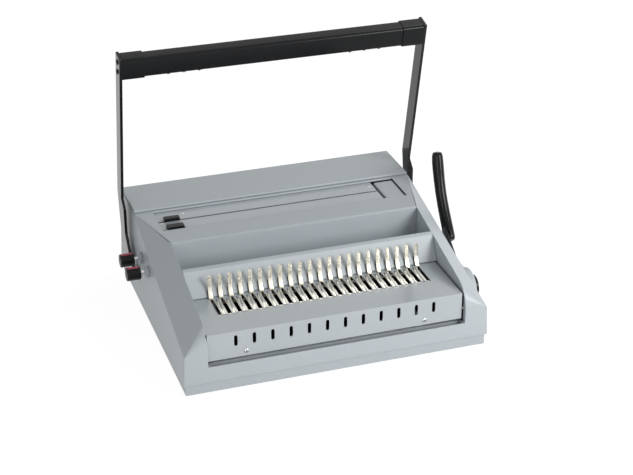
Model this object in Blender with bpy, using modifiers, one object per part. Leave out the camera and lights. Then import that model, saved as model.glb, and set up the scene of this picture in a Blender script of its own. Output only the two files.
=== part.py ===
# Desktop machine that punches paper, opens plastic ring combs and closes wire combs.
# Metres, +Z up, +X to the machine's right. The origin is on the table, under the middle of the body.
# Depths named ..._y are measured back from the front face, heights named ..._z up from the table.
import math

import bmesh
import bpy
from mathutils import Matrix, Vector

# Clearances and cutting allowances
GAP = 0.0003
OVERRUN = 0.004
PIN_CLEARANCE = 0.00015
SLIDE_CLEARANCE = 0.0004
MERGE = 0.00001

# Body and cover
BODY_WIDTH = 0.4325
BODY_DEPTH = 0.385
DECK_Z = 0.1345
COVER_BASE_Z = 0.018
COVER_WALL = 0.003
SIDE_LEAN = 0.0055
COVER_EDGE_ROUND = 0.0018
LIP_Z = 0.0414
CHEEK_WIDTH = 0.03425
TRAY_BACK_Y = 0.188
CHEEK_INNER_FRONT_Z = 0.0909
CHEEK_OUTER_FRONT_Z = 0.0614
CHEEK_RUN_Y = 0.186
CHEEK_ROUND = 0.038
CHEEK_ROUND_CUTS = 6
CHEEK_WALL_FOOT_Z = 0.0785
RETURN_DEPTH = 0.009
LEDGE_BACK_Y = 0.0068
LEDGE_TOP_Z = 0.0380
LEDGE_THICKNESS = 0.0025

# Plinth and feet
PLINTH_INSET = 0.003
PLINTH_WALL = 0.004
PLINTH_FLOOR = 0.003
PLINTH_RIM_HEIGHT = 0.0055
PLINTH_RIM_STEP = 0.0008
FOOT_STANDOFF = 0.002
FOOT_RADIUS = 0.010
FOOT_RECESS = 0.0014
FOOT_INSET = 0.032

# Rear lid
LID_FRONT_Y = 0.296
LID_BACK_MARGIN = 0.003
LID_SIDE_MARGIN = 0.0012
LID_THICKNESS = 0.0034
LID_EDGE_ROUND = 0.0011

# Storage tray moulding
TRAY_WALL = 0.002
TRAY_FLOOR_Z = 0.0865
DIVIDER_BACK_Y = 0.1305
DIVIDER_BACK_Z = 0.1217
DIVIDER_FRONT_Y = 0.1237
DIVIDER_FRONT_Z = 0.120
FINGER_WALL_FOOT_Y = 0.104
NOTCH_SIDE_GAP = 0.0006
NOTCH_TOP_Z = 0.0970
NOTCH_BACK_Y = 0.1140

# Comb panel: the shelf and the front panel, folded from one sheet
SHEET = 0.0015
SHELF_Z = 0.086
SHELF_BACK_Y = 0.1145
PANEL_FRONT_Y = 0.006
PANEL_FOOT_Z = 0.047
PANEL_SIDE_GAP = 0.0006
OVAL_COUNT = 12
OVAL_PITCH = 0.0254
OVAL_SHIFT = -0.0025
OVAL_WIDTH = 0.005
OVAL_HEIGHT = 0.016
OVAL_CENTRE_Z = 0.072

# Ring spacing, shared by fingers, slots, hook strips and comb pins
RING_PITCH = 0.0142875
SLOT_WIDTH = 0.004
SLOT_FRONT_Y = 0.0535
SLOT_BACK_Y = 0.1103

# Ring hook plate
HOOK_START = 0.0045
HOOK_WIDTH = 0.0077
HOOK_FRONT_Y = 0.055
HOOK_BACK_Y = 0.094
HOOK_RISE = 0.0002
HOOK_BAR_FRONT_Y = 0.043
HOOK_BAR_THICKNESS = 0.0014

# Comb fingers and their carriage
FINGER_WIDTH = 0.0058
FINGER_FRONT_Y = 0.1062
FINGER_THICKNESS = 0.003
FINGER_TOP_Z = 0.119
FINGER_TOE_Y = 0.0985
FINGER_TOE_Z = 0.089
FINGER_BEND_Z = 0.0945
STEM_WIDTH = 0.0032
STEM_FRONT_Y = 0.1045
STEM_DEPTH = 0.005
CARRIAGE_BAR_FRONT_Y = 0.098
CARRIAGE_BAR_DEPTH = 0.014
CARRIAGE_BAR_FOOT_Z = 0.0772
CARRIAGE_BAR_THICKNESS = 0.004
CARRIAGE_SIDE_GAP = 0.002
RAIL_FRONT_Y = 0.040
RAIL_DEPTH = 0.080
RAIL_HEIGHT = 0.007
RAIL_OVERLAP = 0.012

# Side lever, its shaft and the drives on it
LEVER_AXIS_Y = 0.086
LEVER_AXIS_Z = 0.048
LEVER_SWING_DEG = 100.0
LEVER_SHAFT_RADIUS = 0.006
PINION_RADIUS = 0.024
PINION_TEETH = 22
PINION_WIDTH = 0.008
PINION_SETBACK = 0.038
RACK_TEETH = 8
TOOTH_ADDENDUM_SHARE = 0.55
TOOTH_DEDENDUM_SHARE = 0.95
TOOTH_THICKNESS_SHARE = 0.38
TOOTH_TIP_SHARE = 0.18
CAM_RADIUS = 0.014
JAW_STROKE = 0.0045
CAM_SETBACK = 0.068
LEVER_HUB_RADIUS = 0.016
LEVER_HUB_THICKNESS = 0.0035
LEVER_STANDOFF = 0.00995
STALK_WIDTH = 0.012
STALK_THICKNESS = 0.004
STALK_TOP_Y = 0.196
STALK_TOP_Z = 0.088
STALK_BEND_Y = 0.150
STALK_BEND_Z = 0.057
GRIP_RADIUS = 0.0098
GRIP_FLATTENING_SHARE = 0.86
GRIP_OVERHANG = 0.0148
HUB_COVER_RADIUS = 0.028
HUB_COVER_WALL = 0.003
HUB_COVER_RIM_ROUND = 0.003

# The grip's centre line, from its foot on the stalk to its rounded top
GRIP_FOOT_Y = 0.183
GRIP_FOOT_Z = 0.0725
GRIP_LOW_Y = 0.194
GRIP_LOW_Z = 0.0835
GRIP_MIDDLE_Y = 0.2235
GRIP_MIDDLE_Z = 0.126
GRIP_HIGH_Y = 0.2385
GRIP_HIGH_Z = 0.163
GRIP_TOP_Y = 0.2450
GRIP_TOP_Z = 0.1885
GRIP_RING_COUNT = 14
GRIP_RADIUS_SHARES = (0.50, 0.80, 0.95, 1.00, 1.00, 0.98, 0.97, 0.97, 0.98, 1.00, 1.00, 0.94, 0.78, 0.42)

# Wire closing jaw
JAW_END_GAP = 0.012
JAW_FRONT_Y = 0.012
JAW_THICKNESS = 0.005
JAW_FOOT_Z = 0.025
JAW_TOP_Z = 0.040
JAW_ARM_FOOT_Z = 0.034
JAW_ARM_TOP_Z = 0.052
JAW_ARM_WIDTH = 0.008

# Side frames and bushes
FRAME_SETBACK = 0.02825
FRAME_THICKNESS = 0.0025
FRAME_FRONT_Y = 0.030
FRAME_FRONT_Z = 0.066
FRAME_STEP_Y = 0.130
FRAME_STEP_Z = 0.078
FRAME_RISE_Y = 0.205
FRAME_TOP_Z = 0.122
FRAME_TOP_BACK_Y = 0.300
FRAME_BACK_MARGIN = 0.040
FRAME_BACK_Z = 0.060
BUSH_WALL = 0.0025
BUSH_FLANGE = 0.0022
BUSH_FLANGE_WIDTH = 0.0015

# Punching handle
HANDLE_AXIS_Y = 0.278
HANDLE_AXIS_Z = 0.060
PUNCH_SHAFT_RADIUS = 0.008
ARM_SIDE_GAP = 0.00285
ARM_THICKNESS = 0.004
ARM_DEPTH = 0.0238
ARM_LEAN = 0.2268
ARM_TOP_FRONT_Y = 0.2656
ARM_TOP_FRONT_Z = 0.3785
ARM_BEND_Z = 0.150
ARM_KNEE_Y = 0.305
ARM_KNEE_TOP_Z = 0.138
ARM_KNEE_FOOT_Z = 0.100
ARM_SHIN_Y = 0.287
ARM_SHIN_Z = 0.079
ARM_HEEL_Y = 0.323
ARM_HEEL_Z = 0.060
ARM_CALF_Y = 0.328
ARM_CALF_Z = 0.079
ARM_EYE_RADIUS = 0.014
ARM_BACK_SWELL_SHARE = 0.06
BAR_HEIGHT = 0.0305
BAR_DEPTH = 0.0225
BAR_CORNER = 0.005
CAP_LENGTH = 0.031
CAP_PROUD = 0.0012
BAR_TOP_DROP = 0.0015
ARM_SCREW_RADIUS = 0.0042
ARM_SCREW_HEAD = 0.0016
ARM_SCREW_SHANK_RADIUS = 0.0022
ARM_SCREW_SHANK = 0.014
ARM_SCREW_UPPER = 0.009
ARM_SCREW_PITCH = 0.0155
ECCENTRIC_RADIUS = 0.014
PUNCH_STROKE = 0.0055
ECCENTRIC_WIDTH = 0.009
ECCENTRIC_SETBACK = 0.058
HANDLE_SWING_DEG = 65.0

# Throats, dies and the punch
WINDOW_MARGIN = 0.03275
WINDOW_FRONT_Y = 0.2290
THROAT_MOUTH = 0.0045
WINDOW_BACK_Y = 0.2925
DIE_TOP_Z = 0.130
DIE_SLOT_FOOT_Z = 0.108
DIE_FOOT_Z = 0.103
DIE_END_ROOM = 0.039
DIE_FRONT_WALL = 0.0055
DIE_SLOT = 0.0025
DIE_BACK_WALL = 0.005
COMB_DIE_FRONT_Y = 0.2255
WIRE_DIE_FRONT_Y = 0.2540
PIN_Z = 0.118
COMB_PIN_WIDTH = 0.0079
COMB_PIN_HEIGHT = 0.0031
COMB_PIN_EDGE = 0.0015
WIRE_PIN_SIDE = 0.0040
WIRE_PIN_PITCH = 0.00846667
WIRE_PIN_EDGE = 0.006
PIN_REACH = 0.0167
PIN_SETBACK = 0.0007
PIN_BAR_THICKNESS = 0.005
PIN_BAR_TOP_Z = 0.124
PUNCH_PLATE_FOOT_Z = 0.090
PUNCH_PLATE_THICKNESS = 0.005
PUNCH_PLATE_END_GAP = 0.001
PUNCH_PLATE_FRONT_Y = 0.236
PUNCH_PLATE_BACK_Y = 0.302
YOKE_CHEEK = 0.005
YOKE_BRIDGE = 0.006
YOKE_FOOT_Z = 0.052
THROAT_PLATE = 0.0015
THROAT_WING_FRONT_Y = 0.2355
STOP_FRONT_Y = 0.2325
STOP_BACK_Y = 0.2870
STOP_GAP = 0.0035
STOP_SIDE_GAP = 0.002
STOP_TOP_Z = 0.1330

# Edge guides with their rods and knobs
ROD_RADIUS = 0.003
FRONT_ROD_Y = 0.203
FRONT_ROD_Z = 0.088
REAR_ROD_Y = 0.244
REAR_ROD_Z = 0.089
GUIDE_ARM_WIDTH = 0.006
GUIDE_ARM_HALF_HEIGHT = 0.003
FRONT_GUIDE_ARM_SETBACK = 0.016
REAR_GUIDE_ARM_SETBACK = 0.0075
GUIDE_LEG = 0.005
GUIDE_SHOULDER_Z = 0.123
GUIDE_TOP_Z = 0.1362
GUIDE_GAP = 0.0022
FRONT_GUIDE_SETBACK = 0.0125
FRONT_GUIDE_FRONT_Y = 0.2312
FRONT_GUIDE_BACK_Y = 0.2432
FRONT_NECK_FRONT_Y = 0.2315
FRONT_NECK_BACK_Y = 0.2350
REAR_GUIDE_SETBACK = 0.0145
REAR_GUIDE_FRONT_Y = 0.2600
REAR_GUIDE_BACK_Y = 0.2690
REAR_NECK_FRONT_Y = 0.2602
REAR_NECK_BACK_Y = 0.2633
KNOB_RADIUS = 0.0096
KNOB_LENGTH = 0.0200
KNOB_RIBS = 6
KNOB_RIB_DEPTH = 0.0008
KNOB_END_ROUND = 0.0012
KNOB_GROOVE_SHARES = (-0.35, -0.15, 0.05)

# Chip drawer and runners
DRAWER_FRONT_Y = 0.2090
DRAWER_BACK_Y = 0.3250
DRAWER_FOOT_Z = 0.0195
DRAWER_TOP_Z = 0.0430
DRAWER_SETBACK = 0.00165
DRAWER_END_ROOM = 0.038
DRAWER_MOUTH_GAP = 0.0009
DRAWER_WALL = 0.002
RUNNER_LEDGE = 0.007
RUNNER_WALL = 0.003
RUNNER_TOP_Z = 0.030

# Small screws of the comb panel
PANEL_SCREW_LEFT_SETBACK = 0.054
PANEL_SCREW_RIGHT_SETBACK = 0.058
PANEL_SCREW_Z = 0.0543
PANEL_SCREW_RADIUS = 0.0034
PANEL_SCREW_HEAD = 0.0014
PANEL_SCREW_SHANK_RADIUS = 0.0015
PANEL_SCREW_SHANK = 0.005

# Facets of round pieces
ROUND_SIDES = 24
SMALL_SIDES = 16
ARC_STEPS = 5

# Places worked out from the values above
HALF_WIDTH = BODY_WIDTH / 2
TROUGH_HALF = HALF_WIDTH - CHEEK_WIDTH
FRAME_INNER_X = HALF_WIDTH - FRAME_SETBACK
FRAME_BACK_Y = BODY_DEPTH - FRAME_BACK_MARGIN
WINDOW_HALF = HALF_WIDTH - WINDOW_MARGIN
PANEL_WIDTH = 2 * (TROUGH_HALF - PANEL_SIDE_GAP)
CARRIAGE_WIDTH = 2 * (TROUGH_HALF - CARRIAGE_SIDE_GAP)
JAW_WIDTH = 2 * (TROUGH_HALF - JAW_END_GAP)
DIE_WIDTH = 2 * (FRAME_INNER_X - DIE_END_ROOM)
PUNCH_PLATE_WIDTH = DIE_WIDTH - 2 * PUNCH_PLATE_END_GAP
PINION_X = FRAME_INNER_X - PINION_SETBACK
CAM_X = FRAME_INNER_X - CAM_SETBACK
ECCENTRIC_X = FRAME_INNER_X - ECCENTRIC_SETBACK
LEVER_INNER_X = HALF_WIDTH + LEVER_STANDOFF
REACH_X = LEVER_INNER_X + LEVER_HUB_THICKNESS + GRIP_OVERHANG
ARM_OUTER_X = HALF_WIDTH + ARM_SIDE_GAP + ARM_THICKNESS
STOP_LEFT_X = DIE_WIDTH / 2 + STOP_GAP
STOP_RIGHT_X = WINDOW_HALF - STOP_SIDE_GAP
GUIDE_RIGHT_X = -DIE_WIDTH / 2 - GUIDE_GAP
FRONT_GUIDE_LEFT_X = FRONT_GUIDE_SETBACK - FRAME_INNER_X
REAR_GUIDE_LEFT_X = REAR_GUIDE_SETBACK - FRAME_INNER_X
FRONT_GUIDE_ARM_X = FRONT_GUIDE_ARM_SETBACK - FRAME_INNER_X
REAR_GUIDE_ARM_X = REAR_GUIDE_ARM_SETBACK - FRAME_INNER_X
DRAWER_LEFT_X = DRAWER_SETBACK - HALF_WIDTH
DRAWER_RIGHT_X = FRAME_INNER_X - DRAWER_END_ROOM
PANEL_SCREW_LEFT_X = PANEL_SCREW_LEFT_SETBACK - TROUGH_HALF
PANEL_SCREW_RIGHT_X = TROUGH_HALF - PANEL_SCREW_RIGHT_SETBACK
NOTCH_WIDTH = FINGER_WIDTH + 2 * NOTCH_SIDE_GAP
RING_COUNT = int((DIE_WIDTH - COMB_PIN_WIDTH - 2 * COMB_PIN_EDGE) / RING_PITCH) + 1
WIRE_PIN_COUNT = int((DIE_WIDTH - WIRE_PIN_SIDE - 2 * WIRE_PIN_EDGE) / WIRE_PIN_PITCH) + 1
FIRST_RING_X = -RING_PITCH * RING_COUNT / 2
FINGER_XS = [FIRST_RING_X + RING_PITCH * k for k in range(RING_COUNT + 1)]
RACK_PITCH_Z = LEVER_AXIS_Z + PINION_RADIUS
TOOTH_PITCH = 2 * math.pi * PINION_RADIUS / PINION_TEETH
CAM_OFFSET = JAW_STROKE / 2 / math.sin(math.radians(LEVER_SWING_DEG / 2))
ECCENTRIC_OFFSET = PUNCH_STROKE / 2 / math.sin(math.radians(HANDLE_SWING_DEG / 2))
ARM_INNER_X = ARM_OUTER_X - ARM_THICKNESS
BAR_END_X = ARM_INNER_X - GAP - CAP_LENGTH
PLINTH_TOP_Z = COVER_BASE_Z - GAP
FLOOR_TOP_Z = FOOT_STANDOFF + PLINTH_FLOOR
CARRIAGE_BAR_TOP_Z = CARRIAGE_BAR_FOOT_Z + CARRIAGE_BAR_THICKNESS
COMB_SLOT_Y = COMB_DIE_FRONT_Y + DIE_FRONT_WALL
WIRE_SLOT_Y = WIRE_DIE_FRONT_Y + DIE_FRONT_WALL
ARM_ALONG = Vector((0, -math.sin(ARM_LEAN), math.cos(ARM_LEAN)))
ARM_BACK = Vector((0, math.cos(ARM_LEAN), math.sin(ARM_LEAN)))

# Start from an empty scene
for old in list(bpy.data.objects):
    bpy.data.objects.remove(old, do_unlink=True)

machine = bpy.data.collections.new("comb_and_wire_binding_machine")
cutters = bpy.data.collections.new("cutters")
bpy.context.scene.collection.children.link(machine)
bpy.context.scene.collection.children.link(cutters)


def material(name, colour, roughness, metallic):
    made = bpy.data.materials.new(name)
    made.use_nodes = True
    shader = made.node_tree.nodes["Principled BSDF"]
    shader.inputs["Base Color"].default_value = (*colour, 1)
    shader.inputs["Roughness"].default_value = roughness
    shader.inputs["Metallic"].default_value = metallic
    return made


def grey(name):
    return material(name, (0.40, 0.43, 0.45), 0.42, 0.0)


def black(name):
    return material(name, (0.010, 0.012, 0.014), 0.32, 0.0)


def steel(name):
    return material(name, (0.55, 0.56, 0.57), 0.30, 1.0)


def chrome(name):
    return material(name, (0.78, 0.78, 0.76), 0.08, 1.0)


def zinc(name):
    return material(name, (0.48, 0.49, 0.50), 0.45, 1.0)


def brass(name):
    return material(name, (0.62, 0.46, 0.20), 0.35, 1.0)


def rubber(name):
    return material(name, (0.020, 0.020, 0.022), 0.85, 0.0)


# The body's frame and one empty on each joint's axis
def joint_empty(name, place, parent=None):
    made = bpy.data.objects.new(name, None)
    made.location = place
    made.parent = parent
    machine.objects.link(made)
    return made


machine_frame = joint_empty("machine_frame", (0, -BODY_DEPTH / 2, 0))
AXES = {
    "body": ((0, 0, 0), machine_frame),
    "handle": ((0, HANDLE_AXIS_Y, HANDLE_AXIS_Z), None),
    "punch": ((0, PUNCH_PLATE_FRONT_Y, PUNCH_PLATE_FOOT_Z), None),
    "lever": ((0, LEVER_AXIS_Y, LEVER_AXIS_Z), None),
    "opener": ((0, CARRIAGE_BAR_FRONT_Y, CARRIAGE_BAR_FOOT_Z), None),
    "closer": ((0, JAW_FRONT_Y, JAW_FOOT_Z), None),
    "front_guide": ((0, FRONT_ROD_Y, FRONT_ROD_Z), None),
    "rear_guide": ((0, REAR_ROD_Y, REAR_ROD_Z), None),
    "drawer": ((0, DRAWER_FRONT_Y, DRAWER_FOOT_Z), None),
}
for body_name, (axis_place, holder) in list(AXES.items()):
    if holder is None:
        made_empty = joint_empty(body_name + "_axis", axis_place, machine_frame)
        AXES[body_name] = (axis_place, made_empty)


# Mesh makers: each returns a bmesh in the body's frame
def block(low, high):
    bm = bmesh.new()
    bmesh.ops.create_cube(bm, size=1)
    size = [h - l for l, h in zip(low, high)]
    middle = [(h + l) / 2 for l, h in zip(low, high)]
    bmesh.ops.scale(bm, vec=size, verts=bm.verts)
    bmesh.ops.translate(bm, vec=middle, verts=bm.verts)
    return bm


def blocks(pairs):
    whole = bmesh.new()
    for low, high in pairs:
        add_to(whole, block(low, high))
    return whole


def add_to(whole, extra):
    mesh = bpy.data.meshes.new("shape")
    extra.to_mesh(mesh)
    extra.free()
    whole.from_mesh(mesh)
    bpy.data.meshes.remove(mesh)


def rod(radius, start_x, end_x, y, z, sides=ROUND_SIDES):
    bm = bmesh.new()
    length = end_x - start_x
    bmesh.ops.create_cone(bm, cap_ends=True, segments=sides, radius1=radius, radius2=radius, depth=length)
    bmesh.ops.rotate(bm, verts=bm.verts, cent=(0, 0, 0), matrix=Matrix.Rotation(math.pi / 2, 3, "Y"))
    bmesh.ops.translate(bm, vec=((start_x + end_x) / 2, y, z), verts=bm.verts)
    return bm


def outline_prism(points, start_x, end_x):
    # A flat curve drawn in depth and height, thick across the machine
    curve = bpy.data.curves.new("outline", "CURVE")
    curve.dimensions = "2D"
    curve.fill_mode = "BOTH"
    curve.extrude = (end_x - start_x) / 2
    spline = curve.splines.new("POLY")
    spline.points.add(len(points) - 1)
    for place, (y, z) in zip(spline.points, points):
        place.co = (y, z, 0, 1)
    spline.use_cyclic_u = True
    drawn = bpy.data.objects.new("outline", curve)
    machine.objects.link(drawn)
    bpy.context.view_layer.update()
    mesh = bpy.data.meshes.new_from_object(drawn.evaluated_get(bpy.context.evaluated_depsgraph_get()))
    bpy.data.objects.remove(drawn, do_unlink=True)
    bpy.data.curves.remove(curve)
    bm = bmesh.new()
    bm.from_mesh(mesh)
    bpy.data.meshes.remove(mesh)
    bmesh.ops.remove_doubles(bm, verts=bm.verts, dist=MERGE)
    turned = Matrix(((0, 0, 1, 0), (1, 0, 0, 0), (0, 1, 0, 0), (0, 0, 0, 1)))
    bmesh.ops.transform(bm, matrix=turned, verts=bm.verts)
    bmesh.ops.translate(bm, vec=((start_x + end_x) / 2, 0, 0), verts=bm.verts)
    bmesh.ops.recalc_face_normals(bm, faces=bm.faces)
    return bm


def arc(centre_y, centre_z, radius, start_deg, end_deg, steps=ARC_STEPS):
    points = []
    for k in range(steps + 1):
        angle = math.radians(start_deg + (end_deg - start_deg) * k / steps)
        points.append((centre_y + radius * math.cos(angle), centre_z + radius * math.sin(angle)))
    return points


def piece(name, bm, finish, body="body"):
    # One named sub-part, with its origin on its body's axis
    place, holder = AXES[body]
    bmesh.ops.translate(bm, vec=[-c for c in place], verts=bm.verts)
    mesh = bpy.data.meshes.new(name)
    bm.to_mesh(mesh)
    bm.free()
    made = bpy.data.objects.new(name, mesh)
    made.parent = holder
    made.data.materials.append(finish(name))
    machine.objects.link(made)
    return made


def cutter(name, bm):
    mesh = bpy.data.meshes.new(name)
    bm.to_mesh(mesh)
    bm.free()
    made = bpy.data.objects.new(name, mesh)
    made.parent = machine_frame
    made.hide_render = True
    made.display_type = "WIRE"
    cutters.objects.link(made)
    return made


def boolean(target, tool, operation):
    change = target.modifiers.new(tool.name, "BOOLEAN")
    change.operation = operation
    change.solver = "EXACT"
    change.object = tool


def cut(target, tool):
    boolean(target, tool, "DIFFERENCE")


def join(target, tool):
    boolean(target, tool, "UNION")


def loop_area(points):
    return sum(a[0] * b[1] - b[0] * a[1] for a, b in zip(points, points[1:] + points[:1])) / 2


def turned(name, profile, finish, body, centre_y, centre_z, sides=ROUND_SIDES):
    # A profile of (x, radius) points screwed about X, run anticlockwise so that its faces point out
    place, holder = AXES[body]
    if loop_area(profile) < 0:
        profile = profile[::-1]
    bm = bmesh.new()
    middle = (centre_y - place[1], centre_z - place[2])
    corners = [bm.verts.new((x - place[0], middle[0], middle[1] + r)) for x, r in profile]
    for first, second in zip(corners, corners[1:]):
        bm.edges.new((first, second))
    mesh = bpy.data.meshes.new(name)
    bm.to_mesh(mesh)
    bm.free()
    made = bpy.data.objects.new(name, mesh)
    made.parent = holder
    centre = joint_empty(name + "_centre", (0, centre_y, centre_z), machine_frame)
    spin = made.modifiers.new("turning", "SCREW")
    spin.axis = "X"
    spin.object = centre
    spin.steps = sides
    spin.render_steps = sides
    spin.use_merge_vertices = True
    spin.merge_threshold = MERGE
    made.data.materials.append(finish(name))
    machine.objects.link(made)
    return made


# Shape of the cover's outside, or of its hollow when inset is the wall's thickness
def side_wall_x(z):
    return HALF_WIDTH - SIDE_LEAN * (z - COVER_BASE_Z) / (DECK_Z - COVER_BASE_Z)


def slice_off(bm, point, normal, inset):
    shifted = Vector(point) - Vector(normal).normalized() * inset
    every = bm.verts[:] + bm.edges[:] + bm.faces[:]
    done = bmesh.ops.bisect_plane(bm, geom=every, plane_co=shifted, plane_no=normal, clear_outer=True)
    rim = [e for e in done["geom_cut"] if isinstance(e, bmesh.types.BMEdge)]
    bmesh.ops.edgeloop_fill(bm, edges=rim)


def cheek_planes(side):
    outer = Vector((side * side_wall_x(CHEEK_OUTER_FRONT_Z), 0, CHEEK_OUTER_FRONT_Z))
    inner = Vector((side * TROUGH_HALF, 0, CHEEK_INNER_FRONT_Z))
    back = Vector((side * TROUGH_HALF, CHEEK_RUN_Y, DECK_Z))
    facet = (outer - inner).cross(back - inner)
    if facet.z < 0:
        facet.negate()
    planes = [(inner, facet)]
    rise = math.atan2(DECK_Z - CHEEK_INNER_FRONT_Z, CHEEK_RUN_Y)
    opening = math.pi / 2 + rise
    tangent = CHEEK_ROUND / math.tan(opening / 2)
    centre = Vector((inner.x, CHEEK_ROUND, inner.z - tangent))
    for k in range(1, CHEEK_ROUND_CUTS + 1):
        angle = (math.pi / 2 - rise) * k / (CHEEK_ROUND_CUTS + 1)
        outward = Vector((0, -math.cos(angle), math.sin(angle)))
        touch = centre + outward * CHEEK_ROUND
        along = Vector((0, math.sin(angle), math.cos(angle)))
        normal = (touch - outer).cross(along)
        if normal.dot(outward) < 0:
            normal.negate()
        planes.append((outer, normal))
    return planes


def cover_solid(inset):
    foot = COVER_BASE_Z if inset == 0 else COVER_BASE_Z - OVERRUN
    low = (-HALF_WIDTH, inset, foot)
    bm = block(low, (HALF_WIDTH, BODY_DEPTH - inset, DECK_Z - inset))
    for corner in bm.verts:
        wall = side_wall_x(corner.co.z) - inset
        corner.co.x = math.copysign(wall, corner.co.x)
    for side in (-1, 1):
        for point, normal in cheek_planes(side):
            slice_off(bm, point, normal, inset)
    bmesh.ops.remove_doubles(bm, verts=bm.verts, dist=MERGE)
    bmesh.ops.dissolve_degenerate(bm, dist=MERGE, edges=bm.edges)
    bmesh.ops.recalc_face_normals(bm, faces=bm.faces)
    return bm


def round_back_edges(bm):
    # The back corners and the deck's edges behind the cheeks
    chosen = []
    for edge in bm.edges:
        at_foot = all(v.co.z < COVER_BASE_Z + COVER_EDGE_ROUND for v in edge.verts)
        behind = all(v.co.y > CHEEK_RUN_Y + OVERRUN for v in edge.verts)
        if behind and not at_foot and edge.calc_face_angle(0) > math.radians(60):
            chosen.append(edge)
    bmesh.ops.bevel(bm, geom=chosen, offset=COVER_EDGE_ROUND, offset_type="OFFSET", segments=2,
                    profile=0.5, affect="EDGES", clamp_overlap=True, material=-1)


def main_cover():
    outside = cover_solid(0)
    round_back_edges(outside)
    cover = piece("main_cover", outside, grey)
    hollow = cutter("cover_hollow", cover_solid(COVER_WALL))
    kept_half = TROUGH_HALF + COVER_WALL
    kept_top = DECK_Z + OVERRUN
    cheek_walls = cutter("cheek_walls", block((-kept_half, -OVERRUN, CHEEK_WALL_FOOT_Z),
                                              (kept_half, TRAY_BACK_Y + COVER_WALL, kept_top)))
    cut(hollow, cheek_walls)
    returns = []
    reach = TROUGH_HALF - OVERRUN
    for left, right in ((-kept_half, -reach), (reach, kept_half)):
        returns.append(((left, -OVERRUN, LIP_Z - COVER_WALL),
                        (right, RETURN_DEPTH, CHEEK_WALL_FOOT_Z + OVERRUN)))
    returns.append(((-kept_half, -OVERRUN, LEDGE_TOP_Z - LEDGE_THICKNESS), (kept_half, LEDGE_BACK_Y, LEDGE_TOP_Z)))
    cut(hollow, cutter("front_returns_and_ledge", blocks(returns)))
    cut(cover, hollow)
    cut(cover, cutter("trough_opening", block((-TROUGH_HALF, -OVERRUN, LIP_Z),
                                              (TROUGH_HALF, TRAY_BACK_Y, kept_top))))
    window_foot = DECK_Z - COVER_WALL - OVERRUN
    cut(cover, cutter("throat_window", block((-WINDOW_HALF, WINDOW_FRONT_Y, window_foot),
                                             (WINDOW_HALF, WINDOW_BACK_Y, kept_top))))
    mouth_low = (-HALF_WIDTH - OVERRUN, DRAWER_FRONT_Y - DRAWER_MOUTH_GAP, COVER_BASE_Z - OVERRUN)
    mouth_high = (DRAWER_LEFT_X + COVER_WALL + OVERRUN, DRAWER_BACK_Y + DRAWER_MOUTH_GAP,
                  DRAWER_TOP_Z + DRAWER_MOUTH_GAP)
    cut(cover, cutter("drawer_mouth", block(mouth_low, mouth_high)))
    wall_left = (-HALF_WIDTH - OVERRUN, -HALF_WIDTH + SIDE_LEAN + COVER_WALL + OVERRUN)
    wall_right = (-wall_left[1], -wall_left[0])
    holes = bmesh.new()
    shaft_hole = PUNCH_SHAFT_RADIUS + SLIDE_CLEARANCE
    add_to(holes, rod(shaft_hole, *wall_left, HANDLE_AXIS_Y, HANDLE_AXIS_Z))
    add_to(holes, rod(shaft_hole, *wall_right, HANDLE_AXIS_Y, HANDLE_AXIS_Z))
    add_to(holes, rod(HUB_COVER_RADIUS + GAP, *wall_right, LEVER_AXIS_Y, LEVER_AXIS_Z))
    add_to(holes, rod(ROD_RADIUS + SLIDE_CLEARANCE, *wall_left, FRONT_ROD_Y, FRONT_ROD_Z, SMALL_SIDES))
    add_to(holes, rod(ROD_RADIUS + SLIDE_CLEARANCE, *wall_left, REAR_ROD_Y, REAR_ROD_Z, SMALL_SIDES))
    cut(cover, cutter("side_wall_holes", holes))


def base_plinth():
    half = HALF_WIDTH - PLINTH_INSET
    bm = block((-half, PLINTH_INSET, FOOT_STANDOFF), (half, BODY_DEPTH - PLINTH_INSET, PLINTH_TOP_Z))
    top = max(bm.faces, key=lambda face: face.calc_center_median().z)
    bmesh.ops.inset_region(bm, faces=[top], thickness=PLINTH_RIM_STEP)
    raised = bmesh.ops.extrude_discrete_faces(bm, faces=[top])["faces"]
    bmesh.ops.translate(bm, vec=(0, 0, PLINTH_RIM_HEIGHT), verts=raised[0].verts)
    bmesh.ops.inset_region(bm, faces=raised, thickness=PLINTH_WALL)
    sunk = bmesh.ops.extrude_discrete_faces(bm, faces=raised)["faces"]
    drop = FLOOR_TOP_Z - PLINTH_TOP_Z - PLINTH_RIM_HEIGHT
    bmesh.ops.translate(bm, vec=(0, 0, drop), verts=sunk[0].verts)
    plinth = piece("base_plinth", bm, grey)
    rim_over = PLINTH_TOP_Z + PLINTH_RIM_HEIGHT + OVERRUN
    rim_inner = half - PLINTH_WALL - OVERRUN
    gates = blocks([((-half - OVERRUN, DRAWER_FRONT_Y - GAP, PLINTH_TOP_Z),
                     (-rim_inner, DRAWER_BACK_Y + GAP, rim_over)),
                    ((rim_inner, LEVER_AXIS_Y - HUB_COVER_RADIUS, PLINTH_TOP_Z),
                     (half + OVERRUN, LEVER_AXIS_Y + HUB_COVER_RADIUS, rim_over))])
    cut(plinth, cutter("rim_gates", gates))
    recesses = bmesh.new()
    for x, y in foot_places():
        recess_top = FOOT_STANDOFF + FOOT_RECESS
        add_to(recesses, upright(FOOT_RADIUS + GAP, FOOT_STANDOFF - OVERRUN, recess_top, x, y))
    cut(plinth, cutter("foot_recesses", recesses))


def upright(radius, foot_z, top_z, x, y):
    bm = bmesh.new()
    bmesh.ops.create_cone(bm, cap_ends=True, segments=SMALL_SIDES, radius1=radius, radius2=radius,
                          depth=top_z - foot_z)
    bmesh.ops.translate(bm, vec=(x, y, (foot_z + top_z) / 2), verts=bm.verts)
    return bm


def foot_places():
    side = HALF_WIDTH - FOOT_INSET
    return [(x, y) for y in (FOOT_INSET, BODY_DEPTH - FOOT_INSET) for x in (-side, side)]


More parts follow.
